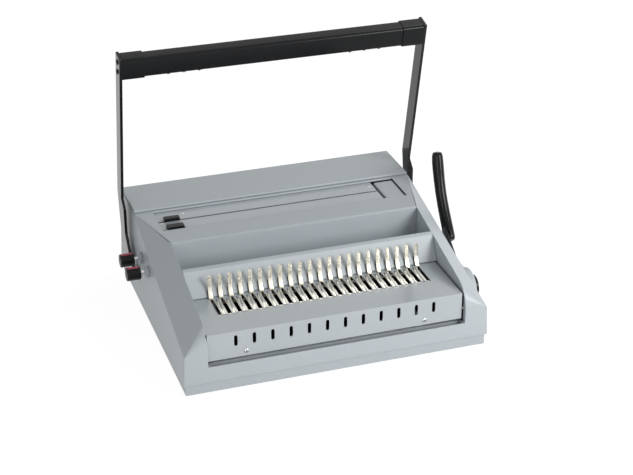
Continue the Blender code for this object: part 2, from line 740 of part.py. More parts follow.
def feet():
    names = ("foot_front_left", "foot_front_right", "foot_back_left", "foot_back_right")
    for name, (x, y) in zip(names, foot_places()):
        piece(name, upright(FOOT_RADIUS, 0, FOOT_STANDOFF + FOOT_RECESS - GAP, x, y), rubber)


def rear_lid():
    foot = DECK_Z + GAP
    half = side_wall_x(DECK_Z) - LID_SIDE_MARGIN
    lid = piece("rear_lid", block((-half, LID_FRONT_Y, foot),
                                  (half, BODY_DEPTH - LID_BACK_MARGIN, foot + LID_THICKNESS)), grey)
    soften(lid, LID_EDGE_ROUND, 2)


def soften(target, width, segments):
    rounding = target.modifiers.new("edge_rounding", "BEVEL")
    rounding.width = width
    rounding.segments = segments
    rounding.limit_method = "ANGLE"
    rounding.angle_limit = math.radians(40)
    rounding.material = -1


def folded_sheet(name, points, half_width, thickness):
    # An open strip that follows the seen side's points, given its thickness on the hidden side
    bm = bmesh.new()
    left = [bm.verts.new((-half_width, y, z)) for y, z in points]
    edges = [bm.edges.new(pair) for pair in zip(left, left[1:])]
    spread = bmesh.ops.extrude_edge_only(bm, edges=edges)["geom"]
    right = [v for v in spread if isinstance(v, bmesh.types.BMVert)]
    bmesh.ops.translate(bm, vec=(2 * half_width, 0, 0), verts=right)
    bm.normal_update()
    level = max(bm.faces, key=lambda face: abs(face.normal.z))
    if level.normal.z < 0:
        bmesh.ops.reverse_faces(bm, faces=bm.faces)
    sheet = piece(name, bm, grey)
    thick = sheet.modifiers.new("sheet_thickness", "SOLIDIFY")
    thick.thickness = thickness
    thick.offset = -1
    thick.use_even_offset = True
    return sheet


def storage_tray():
    top = DECK_Z - GAP
    back = TRAY_BACK_Y - GAP - TRAY_WALL
    lean = math.atan2(DIVIDER_FRONT_Y - FINGER_WALL_FOOT_Y, DIVIDER_FRONT_Z - SHELF_Z)
    foot = SHELF_Z + GAP + TRAY_WALL * math.sin(lean)
    points = [(back, top), (back, TRAY_FLOOR_Z), (DIVIDER_BACK_Y, TRAY_FLOOR_Z),
              (DIVIDER_BACK_Y, DIVIDER_BACK_Z), (DIVIDER_FRONT_Y, DIVIDER_FRONT_Z), (FINGER_WALL_FOOT_Y, foot)]
    tray = folded_sheet("storage_tray", points, TROUGH_HALF - GAP, TRAY_WALL)
    notches = []
    for x in FINGER_XS:
        notches.append(((x - NOTCH_WIDTH / 2, FINGER_WALL_FOOT_Y - OVERRUN, SHELF_Z - OVERRUN),
                        (x + NOTCH_WIDTH / 2, NOTCH_BACK_Y, NOTCH_TOP_Z)))
    cut(tray, cutter("finger_notches", blocks(notches)))


def comb_panel():
    points = [(PANEL_FRONT_Y, PANEL_FOOT_Z), (PANEL_FRONT_Y, SHELF_Z), (SHELF_BACK_Y, SHELF_Z)]
    panel = folded_sheet("comb_panel", points, PANEL_WIDTH / 2, SHEET)
    under = SHELF_Z - SHEET - OVERRUN
    over = SHELF_Z + OVERRUN
    slots = []
    for x in FINGER_XS:
        slots.append(((x - SLOT_WIDTH / 2, HOOK_BACK_Y, under), (x + SLOT_WIDTH / 2, SLOT_BACK_Y, over)))
    cut(panel, cutter("finger_slots", blocks(slots)))
    left = FINGER_XS[0] - SLOT_WIDTH / 2
    right = FINGER_XS[-1] + SLOT_WIDTH / 2
    cut(panel, cutter("hook_window", block((left, SLOT_FRONT_Y, under), (right, HOOK_BACK_Y + GAP, over))))
    ovals = bmesh.new()
    for k in range(OVAL_COUNT):
        x = OVAL_SHIFT + OVAL_PITCH * (k - (OVAL_COUNT - 1) / 2)
        add_to(ovals, oval_plug(x))
    for x in (PANEL_SCREW_LEFT_X, PANEL_SCREW_RIGHT_X):
        add_to(ovals, forward_rod(PANEL_SCREW_SHANK_RADIUS + GAP, PANEL_FRONT_Y - OVERRUN,
                                  PANEL_FRONT_Y + SHEET + OVERRUN, x, PANEL_SCREW_Z))
    cut(panel, cutter("panel_holes", ovals))


def forward_rod(radius, front_y, back_y, x, z):
    bm = rod(radius, front_y, back_y, 0, 0, SMALL_SIDES)
    bmesh.ops.rotate(bm, verts=bm.verts, cent=(0, 0, 0), matrix=Matrix.Rotation(math.pi / 2, 3, "Z"))
    bmesh.ops.translate(bm, vec=(x, 0, z), verts=bm.verts)
    return bm


def oval_plug(x):
    # A round rod stretched to the slot's height, half at each end
    straight = (OVAL_HEIGHT - OVAL_WIDTH) / 2
    front = PANEL_FRONT_Y - OVERRUN
    back = PANEL_FRONT_Y + SHEET + OVERRUN
    bm = forward_rod(OVAL_WIDTH / 2, front, back, x, OVAL_CENTRE_Z)
    for corner in bm.verts:
        if corner.co.z > OVAL_CENTRE_Z + GAP / 2:
            corner.co.z += straight
        elif corner.co.z < OVAL_CENTRE_Z - GAP / 2:
            corner.co.z -= straight
    return bm


def panel_screw(name, x):
    head_back = PANEL_FRONT_Y - GAP
    screw = forward_rod(PANEL_SCREW_RADIUS, head_back - PANEL_SCREW_HEAD, head_back, x, PANEL_SCREW_Z)
    head = piece(name, screw, steel)
    shank = forward_rod(PANEL_SCREW_SHANK_RADIUS, head_back - PANEL_SCREW_HEAD / 2,
                        head_back + PANEL_SCREW_SHANK, x, PANEL_SCREW_Z)
    join(head, cutter(name + "_shank", shank))


def ring_hook_plate():
    top = SHELF_Z - SHEET - GAP
    foot = top - HOOK_BAR_THICKNESS
    left = FINGER_XS[0] - SLOT_WIDTH
    right = FINGER_XS[-1] + SLOT_WIDTH
    bar = block((left, HOOK_BAR_FRONT_Y, foot), (right, SLOT_FRONT_Y - GAP, top))
    plate = piece("ring_hook_plate", bar, chrome)
    strips = []
    for x in FINGER_XS[:-1]:
        strips.append(((x + HOOK_START, SLOT_FRONT_Y - OVERRUN, foot),
                       (x + HOOK_START + HOOK_WIDTH, HOOK_BACK_Y, top - GAP)))
    join(plate, cutter("hook_webs", blocks(strips)))
    raised = []
    for x in FINGER_XS[:-1]:
        raised.append(((x + HOOK_START, HOOK_FRONT_Y, foot + GAP),
                       (x + HOOK_START + HOOK_WIDTH, HOOK_BACK_Y - GAP, SHELF_Z + HOOK_RISE)))
    join(plate, cutter("hook_strips", blocks(raised)))


def finger_outline():
    front = FINGER_FRONT_Y
    back = FINGER_FRONT_Y + FINGER_THICKNESS
    foot = SHELF_Z + GAP * 2
    radius = FINGER_THICKNESS / 2
    points = [(FINGER_TOE_Y, foot), (back, foot)]
    points += arc(front + radius, FINGER_TOP_Z - radius, radius, 0, 180, 4)
    points += [(front, FINGER_BEND_Z), (FINGER_TOE_Y, FINGER_TOE_Z)]
    return points


def comb_fingers():
    bar = block((-CARRIAGE_WIDTH / 2, CARRIAGE_BAR_FRONT_Y, CARRIAGE_BAR_FOOT_Z),
                (CARRIAGE_WIDTH / 2, CARRIAGE_BAR_FRONT_Y + CARRIAGE_BAR_DEPTH, CARRIAGE_BAR_TOP_Z))
    carriage = piece("comb_fingers", bar, chrome, "opener")
    stems = []
    for x in FINGER_XS:
        stems.append(((x - STEM_WIDTH / 2, STEM_FRONT_Y, CARRIAGE_BAR_TOP_Z - GAP),
                      (x + STEM_WIDTH / 2, STEM_FRONT_Y + STEM_DEPTH, SHELF_Z + GAP * 4)))
    join(carriage, cutter("finger_stems", blocks(stems)))
    uprights = bmesh.new()
    for x in FINGER_XS:
        add_to(uprights, outline_prism(finger_outline(), x - FINGER_WIDTH / 2, x + FINGER_WIDTH / 2))
    join(carriage, cutter("finger_uprights", uprights))


def rack_outline():
    # Teeth hang below the pitch line and a tooth space sits over the shaft at rest
    addendum = TOOTH_PITCH / math.pi * TOOTH_ADDENDUM_SHARE
    dedendum = TOOTH_PITCH / math.pi * TOOTH_DEDENDUM_SHARE
    root = RACK_PITCH_Z + dedendum
    tip = RACK_PITCH_Z - addendum
    top = CARRIAGE_BAR_FOOT_Z - GAP
    back = LEVER_AXIS_Y + TOOTH_PITCH * RACK_TEETH
    front = LEVER_AXIS_Y - TOOTH_PITCH * 2
    points = [(back, top), (front, top), (front, root)]
    for k in range(-2, RACK_TEETH):
        middle = LEVER_AXIS_Y + TOOTH_PITCH * (k + 0.5)
        points.append((middle - TOOTH_PITCH * TOOTH_THICKNESS_SHARE / 2, root))
        points.append((middle - TOOTH_PITCH * TOOTH_TIP_SHARE / 2, tip))
        points.append((middle + TOOTH_PITCH * TOOTH_TIP_SHARE / 2, tip))
        points.append((middle + TOOTH_PITCH * TOOTH_THICKNESS_SHARE / 2, root))
    points.append((back, root))
    return points


def pinion_outline():
    # A tooth stands straight up at rest, in the rack's tooth space
    addendum = TOOTH_PITCH / math.pi * TOOTH_ADDENDUM_SHARE
    dedendum = TOOTH_PITCH / math.pi * TOOTH_DEDENDUM_SHARE
    points = []
    step = 2 * math.pi / PINION_TEETH
    for k in range(PINION_TEETH):
        middle = math.pi / 2 + step * k
        for share, radius in ((-TOOTH_THICKNESS_SHARE, PINION_RADIUS - dedendum),
                              (-TOOTH_TIP_SHARE, PINION_RADIUS + addendum),
                              (TOOTH_TIP_SHARE, PINION_RADIUS + addendum),
                              (TOOTH_THICKNESS_SHARE, PINION_RADIUS - dedendum)):
            angle = middle + step * share / 2
            points.append((LEVER_AXIS_Y + radius * math.cos(angle), LEVER_AXIS_Z + radius * math.sin(angle)))
    return points


def shaft_bore(name, radius, x, width, axis):
    return cutter(name, rod(radius + GAP, x - width, x + width, *axis))


def lever_drives():
    axis = (LEVER_AXIS_Y, LEVER_AXIS_Z)
    for side, x in (("left", -PINION_X), ("right", PINION_X)):
        low = x - PINION_WIDTH / 2
        high = x + PINION_WIDTH / 2
        pinion = piece("pinion_" + side, outline_prism(pinion_outline(), low, high), zinc, "lever")
        cut(pinion, shaft_bore("pinion_bore_" + side, LEVER_SHAFT_RADIUS, x, PINION_WIDTH, axis))
        piece("rack_" + side, outline_prism(rack_outline(), low, high), zinc, "opener")
    cam_y, cam_z = cam_centre()
    for side, x in (("left", -CAM_X), ("right", CAM_X)):
        disc = rod(CAM_RADIUS, x - JAW_ARM_WIDTH / 2, x + JAW_ARM_WIDTH / 2, cam_y, cam_z)
        cam = piece("closer_cam_" + side, disc, zinc, "lever")
        cut(cam, shaft_bore("cam_bore_" + side, LEVER_SHAFT_RADIUS, x, JAW_ARM_WIDTH, axis))


def cam_centre():
    # Half the lever's swing behind upright, so that the jaw's stroke is even
    half_swing = math.radians(LEVER_SWING_DEG / 2)
    return LEVER_AXIS_Y + CAM_OFFSET * math.sin(half_swing), LEVER_AXIS_Z + CAM_OFFSET * math.cos(half_swing)


def slide_rails():
    foot = CARRIAGE_BAR_FOOT_Z - GAP - RAIL_HEIGHT
    inner = CARRIAGE_WIDTH / 2 - RAIL_OVERLAP
    outer = FRAME_INNER_X - GAP
    for side, low, high in (("left", -outer, -inner), ("right", inner, outer)):
        rail = piece("comb_rail_" + side, block((low, RAIL_FRONT_Y, foot),
                                                (high, RAIL_FRONT_Y + RAIL_DEPTH, foot + RAIL_HEIGHT)), zinc)
        soften(rail, SHEET / 3, 1)


def closer_jaw():
    half = JAW_WIDTH / 2
    bar = block((-half, JAW_FRONT_Y, JAW_FOOT_Z), (half, JAW_FRONT_Y + JAW_THICKNESS, JAW_TOP_Z))
    jaw = piece("wire_closing_jaw", bar, zinc, "closer")
    reach = cam_centre()[0] - CAM_RADIUS - GAP
    arms = []
    for x in (-CAM_X, CAM_X):
        arms.append(((x - JAW_ARM_WIDTH / 2, JAW_FRONT_Y + JAW_THICKNESS / 2, JAW_ARM_FOOT_Z),
                     (x + JAW_ARM_WIDTH / 2, reach, JAW_ARM_TOP_Z)))
    join(jaw, cutter("jaw_arms", blocks(arms)))


def lever_shaft():
    start = -FRAME_INNER_X - FRAME_THICKNESS - LEVER_SHAFT_RADIUS
    end = LEVER_INNER_X + LEVER_HUB_THICKNESS
    piece("lever_shaft", rod(LEVER_SHAFT_RADIUS, start, end, LEVER_AXIS_Y, LEVER_AXIS_Z), steel, "lever")


def lever_hub_cover():
    left = FRAME_INNER_X + FRAME_THICKNESS + GAP
    right = LEVER_INNER_X - GAP
    bore = LEVER_SHAFT_RADIUS + SLIDE_CLEARANCE
    inner = HUB_COVER_RADIUS - HUB_COVER_WALL
    profile = [(left, inner), (left, HUB_COVER_RADIUS), (right - HUB_COVER_RIM_ROUND, HUB_COVER_RADIUS)]
    profile += arc(right - HUB_COVER_RIM_ROUND, HUB_COVER_RADIUS - HUB_COVER_RIM_ROUND,
                   HUB_COVER_RIM_ROUND, 60, 0, 2)
    floor = right - HUB_COVER_WALL
    profile += [(right, bore), (floor, bore), (floor, inner), (left, inner)]
    turned("lever_hub_cover", profile, grey, "body", LEVER_AXIS_Y, LEVER_AXIS_Z)


def offset_line(points, half_width):
    # The two sides of a bar of even width that follows a centre line
    sides = ([], [])
    for k, (y, z) in enumerate(points):
        before = Vector(points[max(k - 1, 0)])
        after = Vector(points[min(k + 1, len(points) - 1)])
        along = (after - before).normalized()
        across = Vector((-along.y, along.x)) * half_width
        sides[0].append((y + across.x, z + across.y))
        sides[1].append((y - across.x, z - across.y))
    return sides[0] + sides[1][::-1]


def side_lever():
    line = [(LEVER_AXIS_Y, LEVER_AXIS_Z), (STALK_BEND_Y, STALK_BEND_Z), (STALK_TOP_Y, STALK_TOP_Z)]
    outer = LEVER_INNER_X + LEVER_HUB_THICKNESS
    half = STALK_THICKNESS / 2
    bar = outline_prism(offset_line(line, STALK_WIDTH / 2), outer - half, outer + half)
    stalk = piece("side_lever", bar, black, "lever")
    hub = rod(LEVER_HUB_RADIUS, LEVER_INNER_X, outer + STALK_THICKNESS, LEVER_AXIS_Y, LEVER_AXIS_Z)
    join(stalk, cutter("lever_hub", hub))
    bore = LEVER_SHAFT_RADIUS + GAP
    hole = rod(bore, LEVER_INNER_X - OVERRUN, outer + GAP, LEVER_AXIS_Y, LEVER_AXIS_Z)
    cut(stalk, cutter("lever_hub_bore", hole))


def grip_point(share):
    line = [Vector((GRIP_FOOT_Y, GRIP_FOOT_Z)), Vector((GRIP_LOW_Y, GRIP_LOW_Z)),
            Vector((GRIP_MIDDLE_Y, GRIP_MIDDLE_Z)), Vector((GRIP_HIGH_Y, GRIP_HIGH_Z)),
            Vector((GRIP_TOP_Y, GRIP_TOP_Z))]
    lengths = [(b - a).length for a, b in zip(line, line[1:])]
    want = share * sum(lengths)
    for k, length in enumerate(lengths):
        if want <= length or k == len(lengths) - 1:
            part = want / length
            break
        want -= length
    before = line[max(k - 1, 0)]
    first = line[k]
    second = line[k + 1]
    after = line[min(k + 2, len(line) - 1)]
    smooth = 2 * first + (second - before) * part
    smooth += (2 * before - 5 * first + 4 * second - after) * part ** 2
    smooth += (3 * first - before - 3 * second + after) * part ** 3
    return smooth / 2


def lever_grip():
    curve = bpy.data.curves.new("grip_line", "CURVE")
    curve.dimensions = "3D"
    curve.bevel_depth = GRIP_RADIUS
    curve.bevel_resolution = 4
    curve.use_fill_caps = True
    spline = curve.splines.new("POLY")
    spline.points.add(GRIP_RING_COUNT - 1)
    for k, place in enumerate(spline.points):
        even = k / (GRIP_RING_COUNT - 1)
        point = grip_point(0.5 - 0.5 * math.cos(math.pi * even))
        place.co = (0, point.x, point.y, 1)
        place.radius = GRIP_RADIUS_SHARES[k]
    drawn = bpy.data.objects.new("grip_line", curve)
    machine.objects.link(drawn)
    bpy.context.view_layer.update()
    mesh = bpy.data.meshes.new_from_object(drawn.evaluated_get(bpy.context.evaluated_depsgraph_get()))
    bpy.data.objects.remove(drawn, do_unlink=True)
    bpy.data.curves.remove(curve)
    bm = bmesh.new()
    bm.from_mesh(mesh)
    bpy.data.meshes.remove(mesh)
    bmesh.ops.remove_doubles(bm, verts=bm.verts, dist=MERGE)
    bmesh.ops.scale(bm, vec=(GRIP_FLATTENING_SHARE, 1, 1), verts=bm.verts)
    bmesh.ops.translate(bm, vec=(REACH_X - GRIP_RADIUS * GRIP_FLATTENING_SHARE, 0, 0), verts=bm.verts)
    bmesh.ops.recalc_face_normals(bm, faces=bm.faces)
    grip = piece("lever_grip", bm, black, "lever")
    line = [(STALK_BEND_Y, STALK_BEND_Z), (STALK_TOP_Y, STALK_TOP_Z)]
    outer = LEVER_INNER_X + LEVER_HUB_THICKNESS
    along = (Vector(line[1]) - Vector(line[0])).normalized() * GAP
    pocket_line = [line[0], (STALK_TOP_Y + along.x, STALK_TOP_Z + along.y)]
    pocket = outline_prism(offset_line(pocket_line, STALK_WIDTH / 2 + GAP), outer - STALK_THICKNESS / 2 - GAP,
                           outer + STALK_THICKNESS / 2 + GAP)
    cut(grip, cutter("grip_pocket", pocket))


def frame_outline(side):
    foot = FLOOR_TOP_Z + GAP
    points = [(FRAME_FRONT_Y, foot), (FRAME_FRONT_Y, FRAME_FRONT_Z), (FRAME_STEP_Y, FRAME_STEP_Z),
              (FRAME_RISE_Y, FRAME_TOP_Z), (FRAME_TOP_BACK_Y, FRAME_TOP_Z), (FRAME_BACK_Y, FRAME_BACK_Z),
              (FRAME_BACK_Y, foot)]
    if side < 0:
        front = DRAWER_FRONT_Y - GAP - RUNNER_WALL - RUNNER_LEDGE / 2
        back = DRAWER_BACK_Y + GAP + RUNNER_WALL + RUNNER_LEDGE / 2
        top = DRAWER_TOP_Z + RUNNER_WALL
        points += [(back, foot), (back, top), (front, top), (front, foot)]
    return points


def side_frames():
    for name, side in (("side_frame_left", -1), ("side_frame_right", 1)):
        near = side * FRAME_INNER_X
        far = side * (FRAME_INNER_X + FRAME_THICKNESS)
        frame = piece(name, outline_prism(frame_outline(side), min(near, far), max(near, far)), zinc)
        holes = bmesh.new()
        reach = (min(near, far) - OVERRUN, max(near, far) + OVERRUN)
        lever_hole = LEVER_SHAFT_RADIUS + PIN_CLEARANCE + BUSH_WALL + PIN_CLEARANCE
        punch_hole = PUNCH_SHAFT_RADIUS + PIN_CLEARANCE + BUSH_WALL + PIN_CLEARANCE
        add_to(holes, rod(lever_hole, *reach, LEVER_AXIS_Y, LEVER_AXIS_Z))
        add_to(holes, rod(punch_hole, *reach, HANDLE_AXIS_Y, HANDLE_AXIS_Z))
        if side < 0:
            add_to(holes, rod(ROD_RADIUS + SLIDE_CLEARANCE, *reach, FRONT_ROD_Y, FRONT_ROD_Z, SMALL_SIDES))
            add_to(holes, rod(ROD_RADIUS + SLIDE_CLEARANCE, *reach, REAR_ROD_Y, REAR_ROD_Z, SMALL_SIDES))
        cut(frame, cutter(name + "_holes", holes))


def bushes():
    for label, radius, y, z in (("lever", LEVER_SHAFT_RADIUS, LEVER_AXIS_Y, LEVER_AXIS_Z),
                                ("punch", PUNCH_SHAFT_RADIUS, HANDLE_AXIS_Y, HANDLE_AXIS_Z)):
        bore = radius + PIN_CLEARANCE
        barrel = bore + BUSH_WALL
        rim = barrel + BUSH_FLANGE
        for side, word in ((-1, "left"), (1, "right")):
            flange = FRAME_INNER_X - GAP - BUSH_FLANGE_WIDTH
            seat = FRAME_INNER_X - GAP
            end = FRAME_INNER_X + FRAME_THICKNESS
            profile = [(flange, bore), (flange, rim), (seat, rim), (seat, barrel), (end, barrel),
                       (end, bore), (flange, bore)]
            if side < 0:
                profile = [(-x, r) for x, r in profile]
            turned(label + "_bush_" + word, profile, brass, "body", y, z)


def arm_outline():
    top_front = Vector((0, ARM_TOP_FRONT_Y, ARM_TOP_FRONT_Z))
    length = (ARM_TOP_FRONT_Z - ARM_BEND_Z) / math.cos(ARM_LEAN)
    bend_front = top_front - ARM_ALONG * length
    top_back = top_front + ARM_BACK * ARM_DEPTH
    bend_back = bend_front + ARM_BACK * ARM_DEPTH
    calf = Vector((0, ARM_CALF_Y, ARM_CALF_Z))
    points = [(top_front.y, top_front.z), (bend_front.y, bend_front.z), (ARM_KNEE_Y, ARM_KNEE_TOP_Z),
              (ARM_KNEE_Y, ARM_KNEE_FOOT_Z), (ARM_SHIN_Y, ARM_SHIN_Z)]
    points += arc(HANDLE_AXIS_Y, HANDLE_AXIS_Z, ARM_EYE_RADIUS, 130, 290, 8)
    points += [(ARM_HEEL_Y, ARM_HEEL_Z), (calf.y, calf.z)]
    middle = (calf + bend_back) / 2 + ARM_BACK * (ARM_DEPTH * ARM_BACK_SWELL_SHARE)
    points += [(middle.y, middle.z), (bend_back.y, bend_back.z), (top_back.y, top_back.z)]
    return points


def rounded_bar(depth, height, corner, centre):
    # The bar's section leans with the arms
    points = []
    for sign_y, sign_z, start in ((1, 1, 0), (-1, 1, 90), (-1, -1, 180), (1, -1, 270)):
        middle = (sign_y * (depth / 2 - corner), sign_z * (height / 2 - corner))
        for y, z in arc(*middle, corner, start, start + 90, 4):
            place = centre + ARM_BACK * y + ARM_ALONG * z
            points.append((place.y, place.z))
    return points


def handle():
    for side, word in ((-1, "left"), (1, "right")):
        near = side * ARM_INNER_X
        far = side * ARM_OUTER_X
        bar = outline_prism(arm_outline(), min(near, far), max(near, far))
        arm = piece("handle_arm_" + word, bar, black, "handle")
        reach = (min(near, far) - OVERRUN, max(near, far) + OVERRUN)
        holes = rod(PUNCH_SHAFT_RADIUS + PIN_CLEARANCE, *reach, HANDLE_AXIS_Y, HANDLE_AXIS_Z)
        for y, z in arm_screw_places():
            add_to(holes, rod(ARM_SCREW_SHANK_RADIUS + GAP, *reach, y, z, SMALL_SIDES))
        cut(arm, cutter("arm_holes_" + word, holes))
    centre = bar_centre()
    bar = rounded_bar(BAR_DEPTH, BAR_HEIGHT, BAR_CORNER, centre)
    piece("crossbar", outline_prism(bar, -BAR_END_X + GAP, BAR_END_X - GAP), black, "handle")
    cap_outline = rounded_bar(BAR_DEPTH + 2 * CAP_PROUD, BAR_HEIGHT + 2 * CAP_PROUD, BAR_CORNER, centre)
    for side, word in ((-1, "left"), (1, "right")):
        ends = sorted((side * BAR_END_X, side * (ARM_INNER_X - GAP)))
        cap = piece("crossbar_cap_" + word, outline_prism(cap_outline, *ends), black, "handle")
        soften(cap, CAP_PROUD / 2, 1)
        sockets = bmesh.new()
        for y, z in arm_screw_places():
            reach = sorted((side * (ARM_OUTER_X - ARM_SCREW_SHANK - GAP), side * (ARM_OUTER_X + OVERRUN)))
            add_to(sockets, rod(ARM_SCREW_SHANK_RADIUS + GAP, *reach, y, z, SMALL_SIDES))
        cut(cap, cutter("cap_sockets_" + word, sockets))
    arm_screws()


def bar_centre():
    front = Vector((0, ARM_TOP_FRONT_Y, ARM_TOP_FRONT_Z)) - ARM_ALONG * (BAR_TOP_DROP + BAR_HEIGHT / 2)
    return front + ARM_BACK * (ARM_DEPTH / 2)


def arm_screw_places():
    top = Vector((0, ARM_TOP_FRONT_Y, ARM_TOP_FRONT_Z)) + ARM_BACK * (ARM_DEPTH / 2)
    upper = top - ARM_ALONG * ARM_SCREW_UPPER
    lower = upper - ARM_ALONG * ARM_SCREW_PITCH
    return [(upper.y, upper.z), (lower.y, lower.z)]


def arm_screws():
    for side, word in ((-1, "left"), (1, "right")):
        for level, (y, z) in zip(("upper", "lower"), arm_screw_places()):
            name = "arm_screw_" + word + "_" + level
            under = ARM_OUTER_X + GAP
            head = sorted((side * under, side * (under + ARM_SCREW_HEAD)))
            shank = sorted((side * (under + ARM_SCREW_HEAD / 2), side * (under - ARM_SCREW_SHANK)))
            screw = piece(name, rod(ARM_SCREW_RADIUS, *head, y, z, SMALL_SIDES), black, "handle")
            join(screw, cutter(name + "_shank", rod(ARM_SCREW_SHANK_RADIUS, *shank, y, z, SMALL_SIDES)))


def punch_shaft():
    axis = (HANDLE_AXIS_Y, HANDLE_AXIS_Z)
    end = ARM_OUTER_X + GAP
    piece("punch_shaft", rod(PUNCH_SHAFT_RADIUS, -end, end, *axis), steel, "handle")
    middle_y, middle_z = eccentric_centre()
    for word, x in (("left", -ECCENTRIC_X), ("right", ECCENTRIC_X)):
        disc = rod(ECCENTRIC_RADIUS, x - ECCENTRIC_WIDTH / 2, x + ECCENTRIC_WIDTH / 2, middle_y, middle_z)
        eccentric = piece("punch_eccentric_" + word, disc, zinc, "handle")
        cut(eccentric, shaft_bore("eccentric_bore_" + word, PUNCH_SHAFT_RADIUS, x, ECCENTRIC_WIDTH, axis))


def eccentric_centre():
    # Half the handle's swing behind upright, so that the disc pushes evenly to each side
    half_swing = math.radians(HANDLE_SWING_DEG / 2)
    return (HANDLE_AXIS_Y + ECCENTRIC_OFFSET * math.sin(half_swing),
            HANDLE_AXIS_Z + ECCENTRIC_OFFSET * math.cos(half_swing))


def die_outline(front):
    slot = front + DIE_FRONT_WALL
    back = slot + DIE_SLOT + DIE_BACK_WALL
    slot_back = slot + DIE_SLOT
    return [(front, DIE_FOOT_Z), (back, DIE_FOOT_Z), (back, DIE_TOP_Z), (slot_back, DIE_TOP_Z),
            (slot_back, DIE_SLOT_FOOT_Z), (slot, DIE_SLOT_FOOT_Z), (slot, DIE_TOP_Z), (front, DIE_TOP_Z)]


def pin_xs(count, pitch):
    return [pitch * (k - (count - 1) / 2) for k in range(count)]


def pin_blocks(front, back, count, pitch, width, height):
    return [((x - width / 2, front, PIN_Z - height / 2), (x + width / 2, back, PIN_Z + height / 2))
            for x in pin_xs(count, pitch)]


def dies():
    for name, front, count, pitch, width, height in (
            ("comb_die", COMB_DIE_FRONT_Y, RING_COUNT, RING_PITCH, COMB_PIN_WIDTH, COMB_PIN_HEIGHT),
            ("wire_die", WIRE_DIE_FRONT_Y, WIRE_PIN_COUNT, WIRE_PIN_PITCH, WIRE_PIN_SIDE, WIRE_PIN_SIDE)):
        back = front + DIE_FRONT_WALL + DIE_SLOT + DIE_BACK_WALL
        outer = FRAME_INNER_X - GAP
        die = piece(name, outline_prism(die_outline(front), -outer, outer), zinc)
        ends = []
        for low, high in ((-outer - OVERRUN, -DIE_WIDTH / 2), (DIE_WIDTH / 2, outer + OVERRUN)):
            ends.append(((low, front - OVERRUN, DIE_SLOT_FOOT_Z),
                         (high, back + OVERRUN, DIE_TOP_Z + OVERRUN)))
        cut(die, cutter(name + "_ends", blocks(ends)))
        play = 2 * PIN_CLEARANCE
        bores = pin_blocks(front - OVERRUN, back + OVERRUN, count, pitch, width + play, height + play)
        cut(die, cutter(name + "_bores", blocks(bores)))


def punch_carriage():
    half = PUNCH_PLATE_WIDTH / 2
    top = PUNCH_PLATE_FOOT_Z + PUNCH_PLATE_THICKNESS
    plate = block((-half, PUNCH_PLATE_FRONT_Y, PUNCH_PLATE_FOOT_Z), (half, PUNCH_PLATE_BACK_Y, top))
    carriage = piece("punch_carriage", plate, zinc, "punch")
    for name, slot, count, pitch, width, height in (
            ("comb_pin_bar", COMB_SLOT_Y, RING_COUNT, RING_PITCH, COMB_PIN_WIDTH, COMB_PIN_HEIGHT),
            ("wire_pin_bar", WIRE_SLOT_Y, WIRE_PIN_COUNT, WIRE_PIN_PITCH, WIRE_PIN_SIDE, WIRE_PIN_SIDE)):
        tip = slot + DIE_SLOT + PIN_SETBACK
        root = tip + PIN_REACH - DIE_BACK_WALL
        bar = block((-half, root, top + GAP), (half, root + PIN_BAR_THICKNESS, PIN_BAR_TOP_Z))
        made = piece(name, bar, steel, "punch")
        pins = pin_blocks(tip, root + PIN_BAR_THICKNESS / 2, count, pitch, width, height)
        join(made, cutter(name + "_pins", blocks(pins)))
    middle_y = eccentric_centre()[0]
    gap_half = ECCENTRIC_RADIUS + GAP
    bridge = PUNCH_PLATE_FOOT_Z + GAP
    outline = [(middle_y - gap_half - YOKE_CHEEK, YOKE_FOOT_Z), (middle_y - gap_half, YOKE_FOOT_Z),
               (middle_y - gap_half, bridge - YOKE_BRIDGE), (middle_y + gap_half, bridge - YOKE_BRIDGE),
               (middle_y + gap_half, YOKE_FOOT_Z), (middle_y + gap_half + YOKE_CHEEK, YOKE_FOOT_Z),
               (middle_y + gap_half + YOKE_CHEEK, bridge), (middle_y - gap_half - YOKE_CHEEK, bridge)]
    yokes = bmesh.new()
    for x in (-ECCENTRIC_X, ECCENTRIC_X):
        add_to(yokes, outline_prism(outline, x - ECCENTRIC_WIDTH / 2, x + ECCENTRIC_WIDTH / 2))
    join(carriage, cutter("punch_yokes", yokes))


def throat_plates():
    foot = DIE_TOP_Z + GAP
    half = DIE_WIDTH / 2
    comb_back = COMB_SLOT_Y + DIE_SLOT
    mouth_back = WIRE_SLOT_Y + THROAT_MOUTH
    left = GAP - WINDOW_HALF
    top = foot + THROAT_PLATE
    plate = piece("throat_plate", block((-half, comb_back, foot), (half, WIRE_SLOT_Y, top)), grey)
    wing = block((left, THROAT_WING_FRONT_Y, foot), (-half + OVERRUN, WIRE_SLOT_Y, top))
    join(plate, cutter("throat_plate_wing", wing))
    back_plate = block((left, mouth_back, foot), (half, WINDOW_BACK_Y - GAP, top))
    piece("throat_back_plate", back_plate, grey)
    stop = piece("paper_stop", block((STOP_LEFT_X, STOP_FRONT_Y, DIE_SLOT_FOOT_Z + GAP),
                                     (STOP_RIGHT_X, STOP_BACK_Y, STOP_TOP_Z)), grey)
    soften(stop, LID_EDGE_ROUND, 1)


